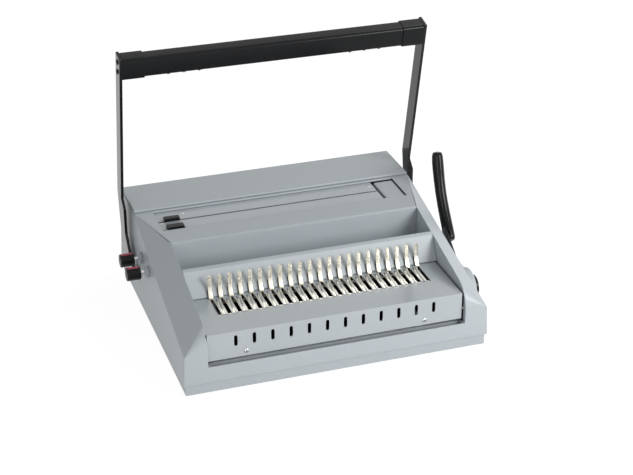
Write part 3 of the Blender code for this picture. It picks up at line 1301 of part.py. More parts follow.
def edge_guides():
    front_riser = COMB_DIE_FRONT_Y - GAP * 2 - GUIDE_LEG
    rear_riser = WIRE_SLOT_Y + DIE_SLOT + DIE_BACK_WALL + GAP * 2
    edge_guide("front", (FRONT_ROD_Y, FRONT_ROD_Z), FRONT_GUIDE_ARM_X, front_riser, FRONT_GUIDE_LEFT_X,
               (FRONT_GUIDE_FRONT_Y, FRONT_GUIDE_BACK_Y), (FRONT_NECK_FRONT_Y, FRONT_NECK_BACK_Y))
    edge_guide("rear", (REAR_ROD_Y, REAR_ROD_Z), REAR_GUIDE_ARM_X, rear_riser, REAR_GUIDE_LEFT_X,
               (REAR_GUIDE_FRONT_Y, REAR_GUIDE_BACK_Y), (REAR_NECK_FRONT_Y, REAR_NECK_BACK_Y))


def edge_guide(label, rod_place, arm_x, riser_front, head_left, head_ys, neck_ys):
    # The rod carries an arm, the arm a riser beside the die, and a neck through the throat the seen head
    body = label + "_guide"
    rod_y, rod_z = rod_place
    arm_end = arm_x + GUIDE_ARM_WIDTH
    riser_back = riser_front + GUIDE_LEG
    foot = rod_z - GUIDE_ARM_HALF_HEIGHT
    shaft = rod(ROD_RADIUS, -REACH_X + KNOB_LENGTH / 2, arm_end - GAP, rod_y, rod_z, SMALL_SIDES)
    guide = piece(body, shaft, black, body)
    join(guide, cutter(body + "_arm", block((arm_x, rod_y - GUIDE_ARM_HALF_HEIGHT, foot),
                                            (arm_end, riser_back, rod_z + GUIDE_ARM_HALF_HEIGHT))))
    join(guide, cutter(body + "_riser", block((arm_x + GAP, riser_front, foot + GAP),
                                              (arm_end - GAP, riser_back - GAP, DIE_TOP_Z))))
    low_front = min(head_ys[0], riser_front) + GAP
    low_back = max(head_ys[1], riser_back) - GAP * 2
    shoulder_left = min(arm_x, head_left) + GAP / 2
    join(guide, cutter(body + "_shoulder", block((shoulder_left, low_front, GUIDE_SHOULDER_Z),
                                                 (GUIDE_RIGHT_X - GAP, low_back, DIE_TOP_Z - GAP))))
    join(guide, cutter(body + "_neck", block((head_left + GAP, neck_ys[0], GUIDE_SHOULDER_Z + GAP),
                                             (GUIDE_RIGHT_X - GAP * 2, neck_ys[1], GUIDE_TOP_Z - GAP))))
    head_foot = DIE_TOP_Z + GAP + THROAT_PLATE + GAP
    join(guide, cutter(body + "_head", block((head_left, head_ys[0], head_foot),
                                             (GUIDE_RIGHT_X, head_ys[1], GUIDE_TOP_Z))))
    knob(body + "_knob", rod_y, rod_z, body)


def knob(name, y, z, body):
    # Ribs run round the knob, for fingers that pull and push it
    left = -REACH_X
    right = left + KNOB_LENGTH
    bore = ROD_RADIUS + GAP
    blind = left + KNOB_LENGTH / 2 - GAP
    pitch = (KNOB_LENGTH - 2 * KNOB_END_ROUND) / KNOB_RIBS
    profile = [(left, 0), (left, KNOB_RADIUS - KNOB_END_ROUND), (left + KNOB_END_ROUND, KNOB_RADIUS)]
    for k in range(KNOB_RIBS - 1):
        edge = left + KNOB_END_ROUND + pitch * (k + 1)
        for share, depth in zip(KNOB_GROOVE_SHARES, (0, KNOB_RIB_DEPTH, 0)):
            profile.append((edge + pitch * share, KNOB_RADIUS - depth))
    profile += [(right - KNOB_END_ROUND, KNOB_RADIUS), (right, KNOB_RADIUS - KNOB_END_ROUND), (right, bore),
                (blind, bore), (blind, 0)]
    turned(name, profile, black, body, y, z, SMALL_SIDES)


def chip_drawer():
    bm = block((DRAWER_LEFT_X, DRAWER_FRONT_Y, DRAWER_FOOT_Z), (DRAWER_RIGHT_X, DRAWER_BACK_Y, DRAWER_TOP_Z))
    top = max(bm.faces, key=lambda face: face.calc_center_median().z)
    bmesh.ops.inset_region(bm, faces=[top], thickness=DRAWER_WALL)
    sunk = bmesh.ops.extrude_discrete_faces(bm, faces=[top])["faces"]
    bmesh.ops.translate(bm, vec=(0, 0, DRAWER_FOOT_Z + DRAWER_WALL - DRAWER_TOP_Z), verts=sunk[0].verts)
    piece("chip_drawer", bm, grey, "drawer")


def drawer_runners():
    floor = FLOOR_TOP_Z + GAP
    ledge = DRAWER_FOOT_Z - GAP
    start = -FRAME_INNER_X - FRAME_THICKNESS * 4
    for name, wall, inward in (("drawer_runner_front", DRAWER_FRONT_Y - GAP, 1),
                               ("drawer_runner_back", DRAWER_BACK_Y + GAP, -1)):
        points = [(wall - inward * RUNNER_WALL, floor), (wall + inward * RUNNER_LEDGE, floor),
                  (wall + inward * RUNNER_LEDGE, ledge), (wall, ledge), (wall, RUNNER_TOP_Z),
                  (wall - inward * RUNNER_WALL, RUNNER_TOP_Z)]
        piece(name, outline_prism(points, start, DRAWER_RIGHT_X), zinc)


main_cover()
base_plinth()
feet()
rear_lid()
storage_tray()
comb_panel()
panel_screw("panel_screw_left", PANEL_SCREW_LEFT_X)
panel_screw("panel_screw_right", PANEL_SCREW_RIGHT_X)
ring_hook_plate()
comb_fingers()
lever_drives()
slide_rails()
closer_jaw()
lever_shaft()
lever_hub_cover()
side_lever()
lever_grip()
side_frames()
bushes()
handle()
punch_shaft()
dies()
punch_carriage()
throat_plates()
edge_guides()
chip_drawer()
drawer_runners()
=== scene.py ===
# %% [markdown]
# A desktop binding machine, dressed for a studio picture. The solids come in as a fixed frame: they
# give every place and every joint. This file gives each of them its edges, its fine shapes and its finish.

# %% Load the frame
import math

import bmesh
import bpy
from mathutils import Matrix, Vector


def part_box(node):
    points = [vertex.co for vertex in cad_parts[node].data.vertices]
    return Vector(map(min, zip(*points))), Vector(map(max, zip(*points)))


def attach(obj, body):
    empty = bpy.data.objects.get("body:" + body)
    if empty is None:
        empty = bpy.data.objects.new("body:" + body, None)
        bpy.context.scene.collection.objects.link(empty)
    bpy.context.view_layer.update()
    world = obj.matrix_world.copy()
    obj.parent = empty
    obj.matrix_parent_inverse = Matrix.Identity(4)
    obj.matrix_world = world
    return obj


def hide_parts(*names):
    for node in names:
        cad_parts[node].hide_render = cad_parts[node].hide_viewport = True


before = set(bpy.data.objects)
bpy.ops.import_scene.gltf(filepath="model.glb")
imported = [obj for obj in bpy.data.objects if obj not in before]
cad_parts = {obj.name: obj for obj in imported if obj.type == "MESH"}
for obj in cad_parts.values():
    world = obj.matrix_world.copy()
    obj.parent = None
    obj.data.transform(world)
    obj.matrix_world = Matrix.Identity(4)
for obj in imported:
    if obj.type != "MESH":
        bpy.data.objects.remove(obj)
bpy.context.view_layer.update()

MM = 0.001


# %% [markdown]
# The picture was taken with a long lens from the machine's front left, looking down by 27 degrees. The
# camera is turned by its own three directions, because a slight roll and a lens that is not quite in
# the picture's middle are easier to see as numbers than as Euler angles.

# %% Camera
PHOTO_WIDTH = 633
FOCAL_PIXELS = 1600.3
CENTRE_OFF_PIXELS = (-0.5, 11.9)
CAMERA_PLACE = Vector((-0.6108, -1.9397, 1.1360))
CAMERA_TARGET = Vector((0.02802, -0.00778, 0.09141))
CAMERA_ROLL = math.radians(-0.25)

back = (CAMERA_PLACE - CAMERA_TARGET).normalized()
level_right = Vector((0, 0, 1)).cross(back).normalized()
level_up = back.cross(level_right)
right = level_right * math.cos(CAMERA_ROLL) + level_up * math.sin(CAMERA_ROLL)
up = level_up * math.cos(CAMERA_ROLL) - level_right * math.sin(CAMERA_ROLL)
lens = bpy.data.cameras.new("camera")
lens.sensor_width = 36
lens.lens = FOCAL_PIXELS / PHOTO_WIDTH * lens.sensor_width
lens.shift_x = -CENTRE_OFF_PIXELS[0] / PHOTO_WIDTH
lens.shift_y = CENTRE_OFF_PIXELS[1] / PHOTO_WIDTH
camera = bpy.data.objects.new("camera", lens)
turn = Matrix((right, up, back)).transposed().to_4x4()
camera.matrix_world = Matrix.Translation(CAMERA_PLACE) @ turn
bpy.context.scene.collection.objects.link(camera)
bpy.context.scene.camera = camera
print("camera: %.1f mm lens" % lens.lens)


# %% [markdown]
# A material in nodes is a small graph. One function is enough to add any node: it takes the node's
# kind, its settings, and what goes into each socket, either a value or another node's output.

# %% Add a node
def add_node(tree, kind, inputs=None, **settings):
    made = tree.nodes.new(kind)
    for name, value in settings.items():
        setattr(made, name, value)
    for name, value in (inputs or {}).items():
        if isinstance(value, bpy.types.NodeSocket):
            tree.links.new(value, made.inputs[name])
        else:
            made.inputs[name].default_value = value
    return made


def linear(hex_colour):
    # Screen colours are curved, and shaders add up light in straight numbers
    channels = [int(hex_colour[k:k + 2], 16) / 255 for k in (1, 3, 5)]
    return [c / 12.92 if c <= 0.04045 else ((c + 0.055) / 1.055) ** 2.4 for c in channels] + [1]


# %% [markdown]
# The studio is a white room. What the camera, metal and gloss see of it is plain white, while the light
# that reaches the machine from it is much softer, so that a large low lamp at the front right can model
# the shapes: faces that look forward come out lighter than faces that look up, as in the picture.

# %% Room light
ROOM_LIGHT = 0.36

room = bpy.data.worlds.new("white_room")
room.use_nodes = True
tree = room.node_tree
tree.nodes.clear()
rays = add_node(tree, "ShaderNodeLightPath")
seen = add_node(tree, "ShaderNodeMath", {0: rays.outputs["Is Camera Ray"],
                                         1: rays.outputs["Is Glossy Ray"]}, operation="MAXIMUM")
seen = add_node(tree, "ShaderNodeMath", {0: seen.outputs[0],
                                         1: rays.outputs["Is Transmission Ray"]}, operation="MAXIMUM")
strength = add_node(tree, "ShaderNodeMapRange", {"Value": seen.outputs[0], "To Min": ROOM_LIGHT,
                                                 "To Max": 1.0})
light = add_node(tree, "ShaderNodeBackground", {"Color": (1, 1, 1, 1), "Strength": strength.outputs[0]})
add_node(tree, "ShaderNodeOutputWorld", {"Surface": light.outputs[0]})
bpy.context.scene.world = room
bpy.context.scene.view_settings.view_transform = "Standard"
print("room light:", ROOM_LIGHT)


# %% [markdown]
# The floor is a sheet of white paper. What the camera sees of it is mostly its own glow, so that it ends
# as white as the room, and a small share of plain paper keeps the machine's soft shadow.

# %% Floor
PAPER_GLOW = 1.15
PAPER_GLOW_SHARE = 0.8
FLOOR_SIZE = 16.0

sheet = bmesh.new()
bmesh.ops.create_grid(sheet, x_segments=1, y_segments=1, size=FLOOR_SIZE / 2)
floor_mesh = bpy.data.meshes.new("floor")
sheet.to_mesh(floor_mesh)
sheet.free()
floor = bpy.data.objects.new("floor", floor_mesh)
bpy.context.scene.collection.objects.link(floor)
paper = bpy.data.materials.new("seamless_paper")
paper.use_nodes = True
tree = paper.node_tree
tree.nodes.clear()
lit = add_node(tree, "ShaderNodeBsdfDiffuse", {"Color": linear("#F7F7F7")})
white = add_node(tree, "ShaderNodeEmission", {"Color": (1, 1, 1, 1), "Strength": PAPER_GLOW})
rays = add_node(tree, "ShaderNodeLightPath")
seen = add_node(tree, "ShaderNodeMath", {0: rays.outputs["Is Camera Ray"],
                                         1: rays.outputs["Is Glossy Ray"]}, operation="MAXIMUM")
part_white = add_node(tree, "ShaderNodeMath", {0: seen.outputs[0], 1: PAPER_GLOW_SHARE},
                      operation="MULTIPLY")
mixed = add_node(tree, "ShaderNodeMixShader", {0: part_white.outputs[0], 1: lit.outputs[0],
                                               2: white.outputs[0]})
add_node(tree, "ShaderNodeOutputMaterial", {"Surface": mixed.outputs[0]})
floor_mesh.materials.append(paper)
print("floor:", FLOOR_SIZE, "m of white paper")


# %% [markdown]
# Three round lamps: the low key at the front right draws the shapes, a wide weak one at the left fills
# the shadows, and a small one behind parts the handle from the room.

# %% Lamps
LAMP_AIM = Vector((0, 0, 0.1))
# Name, place, width in metres, power in watts
LAMPS = (("key", (1.15, -1.45, 0.85), 1.1, 28),
         ("fill", (-1.6, -1.5, 0.7), 1.4, 8),
         ("rim", (1.0, 0.5, 1.5), 1.0, 5))

for name, place, size, power in LAMPS:
    lamp = bpy.data.lights.new(name, "AREA")
    lamp.shape = "DISK"
    lamp.size = size
    lamp.energy = power
    holder = bpy.data.objects.new(name, lamp)
    holder.location = place
    holder.rotation_euler = (LAMP_AIM - Vector(place)).to_track_quat("-Z", "Y").to_euler()
    bpy.context.scene.collection.objects.link(holder)
print("lamps:", len(LAMPS))


# %% [markdown]
# Every finish is one Principled shader with its plain facts, and a bump that stands for how the surface
# was made. The pattern's size is a real length in millimetres: a noise of scale 1 repeats about once a
# metre, so the scale is one over the grain.

# %% A finish and its grain
GRAIN_DETAIL = 3.0
CLOUD_DETAIL = 2.0
# A mix node has one set of sockets for each kind of value, and these are the ones for colours
MIX_LOW = 6
MIX_HIGH = 7
MIX_RESULT = 2


def finish(name, colour, roughness, ior=1.5, metallic=0.0, specular=0.5):
    made = bpy.data.materials.new(name)
    made.use_nodes = True
    shader = made.node_tree.nodes["Principled BSDF"]
    shader.inputs["Base Color"].default_value = linear(colour)
    shader.inputs["Roughness"].default_value = roughness
    shader.inputs["Metallic"].default_value = metallic
    shader.inputs["IOR"].default_value = ior
    shader.inputs["Specular IOR Level"].default_value = specular
    return made, made.node_tree, shader


def grain(tree, shader, size_mm, height_mm, stretch=(1, 1, 1)):
    where = add_node(tree, "ShaderNodeTexCoord")
    turned = add_node(tree, "ShaderNodeMapping", {"Vector": where.outputs["Object"], "Scale": stretch})
    noise = add_node(tree, "ShaderNodeTexNoise", {"Vector": turned.outputs[0], "Scale": 1 / (size_mm * MM),
                                                  "Detail": GRAIN_DETAIL})
    bump = add_node(tree, "ShaderNodeBump", {"Height": noise.outputs[0], "Distance": height_mm * MM,
                                             "Strength": 1.0})
    tree.links.new(bump.outputs[0], shader.inputs["Normal"])
    return noise


def vary(tree, shader, noise, colour_low, colour_high, rough_low, rough_high):
    mix = add_node(tree, "ShaderNodeMix", {"Factor": noise.outputs[0], MIX_LOW: linear(colour_low),
                                           MIX_HIGH: linear(colour_high)}, data_type="RGBA")
    tree.links.new(mix.outputs[MIX_RESULT], shader.inputs["Base Color"])
    rough = add_node(tree, "ShaderNodeMapRange", {"Value": noise.outputs[0], "To Min": rough_low,
                                                  "To Max": rough_high})
    tree.links.new(rough.outputs[0], shader.inputs["Roughness"])


def cloud(tree, size_mm):
    where = add_node(tree, "ShaderNodeTexCoord")
    return add_node(tree, "ShaderNodeTexNoise", {"Vector": where.outputs["Object"],
                                                 "Scale": 1 / (size_mm * MM), "Detail": CLOUD_DETAIL})


# %% [markdown]
# The shells are moulded ABS, silver grey, from a spark-eroded mould: the light breaks up on a fine even
# grain. The real grain is about 0.1 mm, too fine to show here, so it is drawn at 0.9 mm and kept low.

# %% Moulded and painted finishes
def spark_eroded_abs(name, low, high):
    made, tree, shader = finish(name, high, 0.42, ior=1.53)
    grain(tree, shader, 0.9, 0.012)
    vary(tree, shader, cloud(tree, 45), low, high, 0.38, 0.46)
    return made


shell_abs = spark_eroded_abs("spark_eroded_abs_silver_grey", "#A9B0B4", "#AEB5B9")
plinth_abs = spark_eroded_abs("spark_eroded_abs_plinth", "#A6ADB1", "#ABB2B6")

# Stoving enamel on folded sheet, clearly glossier: the shelf mirrors the bright fingers behind it
enamel, tree, shader = finish("gloss_stoving_enamel", "#A6ADB1", 0.16, ior=1.6, specular=0.8)
grain(tree, shader, 4.0, 0.006)
vary(tree, shader, cloud(tree, 60), "#A3AAAE", "#A9B0B4", 0.13, 0.19)

# Black ABS from a polished mould. The whole room is white, so its reflection is kept low face-on
gloss_black, tree, shader = finish("polished_black_abs", "#0C0D0F", 0.2, ior=1.5, specular=0.2)
grain(tree, shader, 3.5, 0.010)
vary(tree, shader, cloud(tree, 30), "#0A0B0D", "#0F1113", 0.17, 0.24)

# The lever's grip is the same plastic, rubbed bright by hands
grip_black, tree, shader = finish("hand_polished_black_abs", "#08090A", 0.09, ior=1.5, specular=0.22)
grain(tree, shader, 5.0, 0.008)
vary(tree, shader, cloud(tree, 25), "#070809", "#0B0C0E", 0.07, 0.12)

# Black ABS from a plain mould, for knobs and guides that fingers touch; on the screws it is also the painted
# shade in the cross recesses
plain_black_and_recess_shade, tree, shader = finish("plain_black_abs", "#0E0F11", 0.38, ior=1.5, specular=0.2)
grain(tree, shader, 0.8, 0.015)
vary(tree, shader, cloud(tree, 8), "#0B0C0D", "#121416", 0.34, 0.44)

# Stoving paint on the flat steel arms: black and glossy, so that seen edge-on it mirrors the white room
arm_paint, tree, shader = finish("gloss_black_stoving_paint", "#0D0E10", 0.14, ior=1.5, specular=0.25)
grain(tree, shader, 2.4, 0.006)
vary(tree, shader, cloud(tree, 25), "#0B0C0E", "#101214", 0.12, 0.18)

# Red polypropylene inlay on the knobs
red_inlay, tree, shader = finish("red_polypropylene", "#B03A52", 0.4, ior=1.49)
grain(tree, shader, 0.7, 0.01)
vary(tree, shader, cloud(tree, 5), "#A9364D", "#B84158", 0.36, 0.45)

# Rubber with a matt skin
foot_rubber, tree, shader = finish("moulded_rubber", "#1C1C1E", 0.8, ior=1.52)
grain(tree, shader, 0.6, 0.03)
vary(tree, shader, cloud(tree, 6), "#19191B", "#222224", 0.74, 0.86)
print("moulded and painted finishes made")


# %% [markdown]
# Metals take their colour from the reflection, so they only need a base colour and fine marks that
# follow the way the piece was worked. Polishing and brushing run along one direction: the noise is
# stretched by a factor of 30 along it.

# %% Metals
# Chromium plate on the stamped hook strips
chrome_plate, tree, shader = finish("chromium_plate", "#DEDEDC", 0.1, metallic=1.0)
vary(tree, shader, grain(tree, shader, 1.4, 0.004, (1, 0.1, 1)), "#D4D4D2", "#E6E6E4", 0.07, 0.16)

# Nickel plate on the fingers: softer, and a touch warm
nickel_plate, tree, shader = finish("satin_nickel_plate", "#E4DFD0", 0.24, metallic=1.0)
vary(tree, shader, grain(tree, shader, 3.0, 0.006, (1, 1, 0.2)), "#DCD4C0", "#ECE8DC", 0.2, 0.3)

# Nickel-plated screws and ground shafts
bright_steel, tree, shader = finish("bright_nickel_plate", "#C8CACC", 0.24, metallic=1.0)
vary(tree, shader, grain(tree, shader, 0.8, 0.004, (0.05, 1, 1)), "#BDBFC1", "#D2D4D6", 0.2, 0.3)

# Bright zinc plate on the inner plates: dull, with a faint cloudy spangle of about 4 mm
zinc_plate, tree, shader = finish("zinc_plate", "#8F9294", 0.42, metallic=1.0)
grain(tree, shader, 1.2, 0.006)
vary(tree, shader, cloud(tree, 4), "#83878A", "#9A9DA0", 0.36, 0.5)

# Turned brass bushes
turned_brass, tree, shader = finish("turned_brass", "#B8954F", 0.3, metallic=1.0)
vary(tree, shader, grain(tree, shader, 0.5, 0.004, (1, 0.1, 0.1)), "#AD8A45", "#C4A25C", 0.25, 0.36)
print("metals made")


# %% [markdown]
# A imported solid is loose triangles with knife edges. Real edges are a little round, and that small
# roundness is what catches the light. So each seen solid is copied, its triangles are merged back into
# whole faces, and its edges are bevelled by a fraction of a millimetre.

# %% From a solid to a finished piece
def solid(node):
    shape = bmesh.new()
    shape.from_mesh(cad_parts[node].data)
    bmesh.ops.remove_doubles(shape, verts=shape.verts, dist=0.01 * MM)
    bmesh.ops.dissolve_limit(shape, angle_limit=math.radians(1), verts=shape.verts, edges=shape.edges)
    return shape


def round_edges(shape, width_mm, segments=2, sharper_than=32, chosen=None, clamp=True):
    sharp = []
    for edge in shape.edges:
        if edge.is_manifold and edge.calc_face_angle(0) > math.radians(sharper_than):
            if chosen is None or chosen(edge):
                sharp.append(edge)
    bmesh.ops.bevel(shape, geom=sharp, offset=width_mm * MM, offset_type="OFFSET", segments=segments,
                    profile=0.5, affect="EDGES", clamp_overlap=clamp, material=-1)
    return shape


def publish(name, shape, body, slot, *materials, replaced=(), smooth_below=34):
    # Weighted normals keep the large faces flat and leave all the turning to the small rounded edges
    mesh = bpy.data.meshes.new(name)
    shape.to_mesh(mesh)
    shape.free()
    mesh.shade_smooth()
    mesh.set_sharp_from_angle(angle=math.radians(smooth_below))
    made = bpy.data.objects.new(name, mesh)
    for material in materials:
        mesh.materials.append(material)
    bpy.context.scene.collection.objects.link(made)
    weighted = made.modifiers.new("weighted_normals", "WEIGHTED_NORMAL")
    weighted.keep_sharp = True
    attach(made, body)
    if replaced:
        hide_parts(*replaced)
    print("piece:", name, len(mesh.polygons), "faces")
    return made


def box_shape(low, high):
    shape = bmesh.new()
    bmesh.ops.create_cube(shape, size=1)
    bmesh.ops.scale(shape, vec=[h - l for l, h in zip(low, high)], verts=shape.verts)
    bmesh.ops.translate(shape, vec=[(h + l) / 2 for l, h in zip(low, high)], verts=shape.verts)
    return shape


def join_shapes(*shapes):
    whole = bmesh.new()
    for shape in shapes:
        part = bpy.data.meshes.new("part")
        shape.to_mesh(part)
        shape.free()
        whole.from_mesh(part)
        bpy.data.meshes.remove(part)
    return whole


# %% [markdown]
# The shells come first, because they fill most of the picture: the cover with its sloped cheeks, the
# plinth below it, the raised lid behind, the tray and the drawer. Mould edges are round by about 1 mm.

# %% Shells
LONG_EDGE = 0.02
# Solid, slot, finish, and how far its long edges are rounded, in millimetres. Where that is zero, the
# solid has its own rounding
SHELLS = (("base_plinth", "cover_plastic", plinth_abs, 0.6),
          ("rear_lid", "cover_plastic", shell_abs, 0.0),
          ("storage_tray", "cover_plastic", shell_abs, 0.7),
          ("chip_drawer", "cover_plastic", shell_abs, 0.6),
          ("paper_stop", "cover_plastic", shell_abs, 0.0),
          ("lever_hub_cover", "cover_plastic", shell_abs, 0.0),
          ("throat_plate", "painted_sheet", enamel, 0.3),
          ("throat_back_plate", "painted_sheet", enamel, 0.3))


def long_edge(edge):
    return edge.calc_length() > LONG_EDGE


for node, slot, finish_used, width in SHELLS:
    shape = solid(node)
    if width:
        round_edges(shape, width, chosen=long_edge, clamp=False)
    body = "drawer" if node == "chip_drawer" else "machine"
    publish(node + "_finished", shape, body, slot, finish_used, replaced=(node,))


# %% [markdown]
# The cover's front is one large face with a deep notch for the panel. A bevel can pull such a face across
# its own notch, so it is cut into triangles first, and what ends in front of the face is set back on it.

# %% Cover
FRONT_FACE_Y = -0.1925
COVER_EDGE = 0.9
COVER_CREASE = 12

cover = solid("main_cover")
bmesh.ops.triangulate(cover, faces=cover.faces)
round_edges(cover, COVER_EDGE, sharper_than=COVER_CREASE, clamp=False)
for corner in cover.verts:
    corner.co.y = max(corner.co.y, FRONT_FACE_Y)
publish("main_cover_finished", cover, "machine", "cover_plastic", shell_abs, replaced=("main_cover",))


# %% [markdown]
# The comb panel is folded sheet. Its fold shows as one bright line across the machine. The right end
# stops a little short, and leaves a dark slot beside the cheek.

# %% Comb panel
PANEL_RIGHT_X = 0.1786
SHEET_EDGE = 0.35

panel = solid("comb_panel")
for corner in panel.verts:
    corner.co.x = min(corner.co.x, PANEL_RIGHT_X)
publish("comb_panel_finished", round_edges(panel, SHEET_EDGE), "machine", "painted_sheet", enamel,
        replaced=("comb_panel",))


# %% [markdown]
# Under the panel runs the wire channel. Its painted closing plate lies on the jaw and fills the view
# between the lip and the panel; two fixed blocks close the channel's ends.

# %% Closing plate
PLATE_HALF = 0.1775
PLATE_FRONT_Y = FRONT_FACE_Y + 11.7 * MM
PLATE_BACK_Y = FRONT_FACE_Y + 21.5 * MM
PLATE_TOP_Z = 40.6 * MM
PLATE_SKIN = 1.0 * MM
PLATE_FOOT_Z = 30 * MM
END_BLOCK_FRONT_Y = FRONT_FACE_Y + 9.4 * MM
END_BLOCK_NEAR_X = 0.1780
END_BLOCK_FAR_X = 0.1817
END_BLOCK_EDGE = 0.3

plate_top = box_shape((-PLATE_HALF, PLATE_FRONT_Y, PLATE_TOP_Z - PLATE_SKIN),
                      (PLATE_HALF, PLATE_BACK_Y, PLATE_TOP_Z))
plate_skin = box_shape((-PLATE_HALF, PLATE_FRONT_Y, PLATE_FOOT_Z),
                       (PLATE_HALF, PLATE_FRONT_Y + PLATE_SKIN, PLATE_TOP_Z - PLATE_SKIN / 2))
closing_plate = join_shapes(round_edges(plate_top, SHEET_EDGE), plate_skin)
publish("closing_plate", closing_plate, "closer", "painted_sheet", enamel)
for side, word in ((-1, "left"), (1, "right")):
    ends = sorted((side * END_BLOCK_NEAR_X, side * END_BLOCK_FAR_X))
    block = box_shape((ends[0], END_BLOCK_FRONT_Y, PLATE_FOOT_Z), (ends[1], PLATE_BACK_Y, PLATE_TOP_Z))
    publish("channel_end_" + word, round_edges(block, END_BLOCK_EDGE), "machine", "cover_plastic", shell_abs)


# %% [markdown]
# The metal row: nickel fingers that curve forward at their feet, on a bar under the shelf. One finger is
# a bevelled block, cut into short lengths and bent, and then copied along the row at the rings' pitch.

# %% Fingers
RING_PITCH = 14.2875 * MM
RING_COUNT = 21
FINGER_WIDTH = 5.8 * MM
FINGER_THICKNESS = 2.2 * MM
FINGER_TOP_ROUND = 3.0 * MM
FINGER_TIP_SHARE = 0.04
FINGER_FOOT_Z = 86.6 * MM
FINGER_REACH = 7.4 * MM
FINGER_CURVE_SHARE = 0.6
FINGER_CUTS = 15
FINGER_EDGE = 0.8
UPRIGHT_RISE = 10 * MM
TOE_HEIGHT = 1.4 * MM
TOE_EDGE = 0.4

row_low, row_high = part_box("comb_fingers")
finger_front = FRONT_FACE_Y + 106.2 * MM
finger_xs = [RING_PITCH * (k - RING_COUNT / 2) for k in range(RING_COUNT + 1)]


def upright(edge):
    return abs(edge.verts[0].co.z - edge.verts[1].co.z) > UPRIGHT_RISE


def bent_finger(x):
    half = FINGER_WIDTH / 2
    top = row_high.z
    blade = box_shape((-half, finger_front, FINGER_FOOT_Z), (half, finger_front + FINGER_THICKNESS, top))
    round_edges(blade, FINGER_EDGE, segments=3, sharper_than=50, chosen=upright)
    bmesh.ops.subdivide_edges(blade, edges=[edge for edge in blade.edges if upright(edge)],
                              cuts=FINGER_CUTS, use_grid_fill=True)
    for corner in blade.verts:
        share = (corner.co.z - FINGER_FOOT_Z) / (top - FINGER_FOOT_Z)
        if share < FINGER_CURVE_SHARE:
            corner.co.y -= FINGER_REACH * (1 - share / FINGER_CURVE_SHARE) ** 2
        over = max(0, corner.co.z - top + FINGER_TOP_ROUND) / FINGER_TOP_ROUND
        corner.co.x *= math.sqrt(max(FINGER_TIP_SHARE, 1 - over * over))
    bmesh.ops.translate(blade, vec=(x, 0, 0), verts=blade.verts)
    toe = box_shape((x - half, finger_front - FINGER_REACH, FINGER_FOOT_Z),
                    (x + half, finger_front + FINGER_THICKNESS, FINGER_FOOT_Z + TOE_HEIGHT))
    return join_shapes(blade, round_edges(toe, TOE_EDGE, sharper_than=30))


carriage = solid("comb_fingers")
above = [face for face in carriage.faces if face.calc_center_median().z > FINGER_FOOT_Z + MM / 2]
bmesh.ops.delete(carriage, geom=above, context="FACES")
bmesh.ops.holes_fill(carriage, edges=carriage.edges, sides=8)
fingers = [bent_finger(x) for x in finger_xs]
publish("comb_fingers_finished", join_shapes(carriage, *fingers), "opener", "chromed_steel", nickel_plate,
        replaced=("comb_fingers",), smooth_below=40)


# %% [markdown]
# Between the slots lie chromed strips. Each is one section, pushed through from front to back: a broad
# crowned face, then two narrow ridges with dark grooves beside them.

# %% Hook strips
STRIP_START = 2.8 * MM
STRIP_FRONT_Y = FRONT_FACE_Y + 54.6 * MM
STRIP_BACK_Y = FRONT_FACE_Y + 97.2 * MM
# Millimetres along the row and up, from the left foot of the crowned face to the last ridge
STRIP_SECTION = ((0, -2.2), (0, -0.6), (0.3, -0.25), (1.4, -0.05), (2.7, 0), (4.2, -0.1), (5.3, -0.35),
                 (5.5, -0.7), (5.5, -1.7), (6.2, -1.7), (6.2, -0.4), (6.5, -0.1), (7.2, -0.1), (7.5, -0.4),
                 (7.5, -1.7), (8.0, -1.7), (8.0, -0.5), (8.3, -0.25), (8.7, -0.35), (8.9, -0.7),
                 (8.9, -2.2))
UNDER_BAR_DEPTH = 4 * MM
UNDER_BAR_DROP = 2.1 * MM

plate_low, plate_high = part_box("ring_hook_plate")


def hook_strip(x):
    strip = bmesh.new()
    corners = [strip.verts.new((x + STRIP_START + along * MM, STRIP_FRONT_Y, plate_high.z + up * MM))
               for along, up in STRIP_SECTION]
    face = bmesh.ops.contextual_create(strip, geom=corners)["faces"]
    pushed = bmesh.ops.extrude_face_region(strip, geom=face)["geom"]
    moved = [v for v in pushed if isinstance(v, bmesh.types.BMVert)]
    bmesh.ops.translate(strip, vec=(0, STRIP_BACK_Y - STRIP_FRONT_Y, 0), verts=moved)
    bmesh.ops.recalc_face_normals(strip, faces=strip.faces)
    return strip


under_bar = box_shape(plate_low, (plate_high.x, STRIP_FRONT_Y + UNDER_BAR_DEPTH,
                                  plate_high.z - UNDER_BAR_DROP))
strips = [hook_strip(x) for x in finger_xs[:-1]]
publish("ring_hook_plate_finished", join_shapes(under_bar, *strips), "machine", "chromed_steel",
        chrome_plate, replaced=("ring_hook_plate",), smooth_below=50)


# %% [markdown]
# The handle and the lever are what the eye meets first: black, glossy, and drawn by one long highlight
# along each rounded edge.

# %% Handle
ARM_EDGE = 0.5

for side in ("left", "right"):
    arm = "handle_arm_" + side
    cap = "crossbar_cap_" + side
    publish(arm + "_finished", round_edges(solid(arm), ARM_EDGE), "handle", "black_paint", arm_paint,
            replaced=(arm,))
    publish(cap + "_finished", solid(cap), "handle", "black_plastic", gloss_black, replaced=(cap,))


# %% [markdown]
# Under the bar each hand finds three low ribs. They are cut from short rods that lie along the bar's
# depth and show only their lowest part.

# %% Crossbar with its ribs
BAR_HEIGHT = 30.5 * MM
BAR_LEAN = 0.2268
RIB_PLACES = (110 * MM, 132 * MM, 154 * MM)
RIB_RADIUS = 3 * MM
RIB_LENGTH = 17 * MM
RIB_PROUD = 1.1 * MM
RIB_EDGE = 0.8
RIB_STEPS = 20

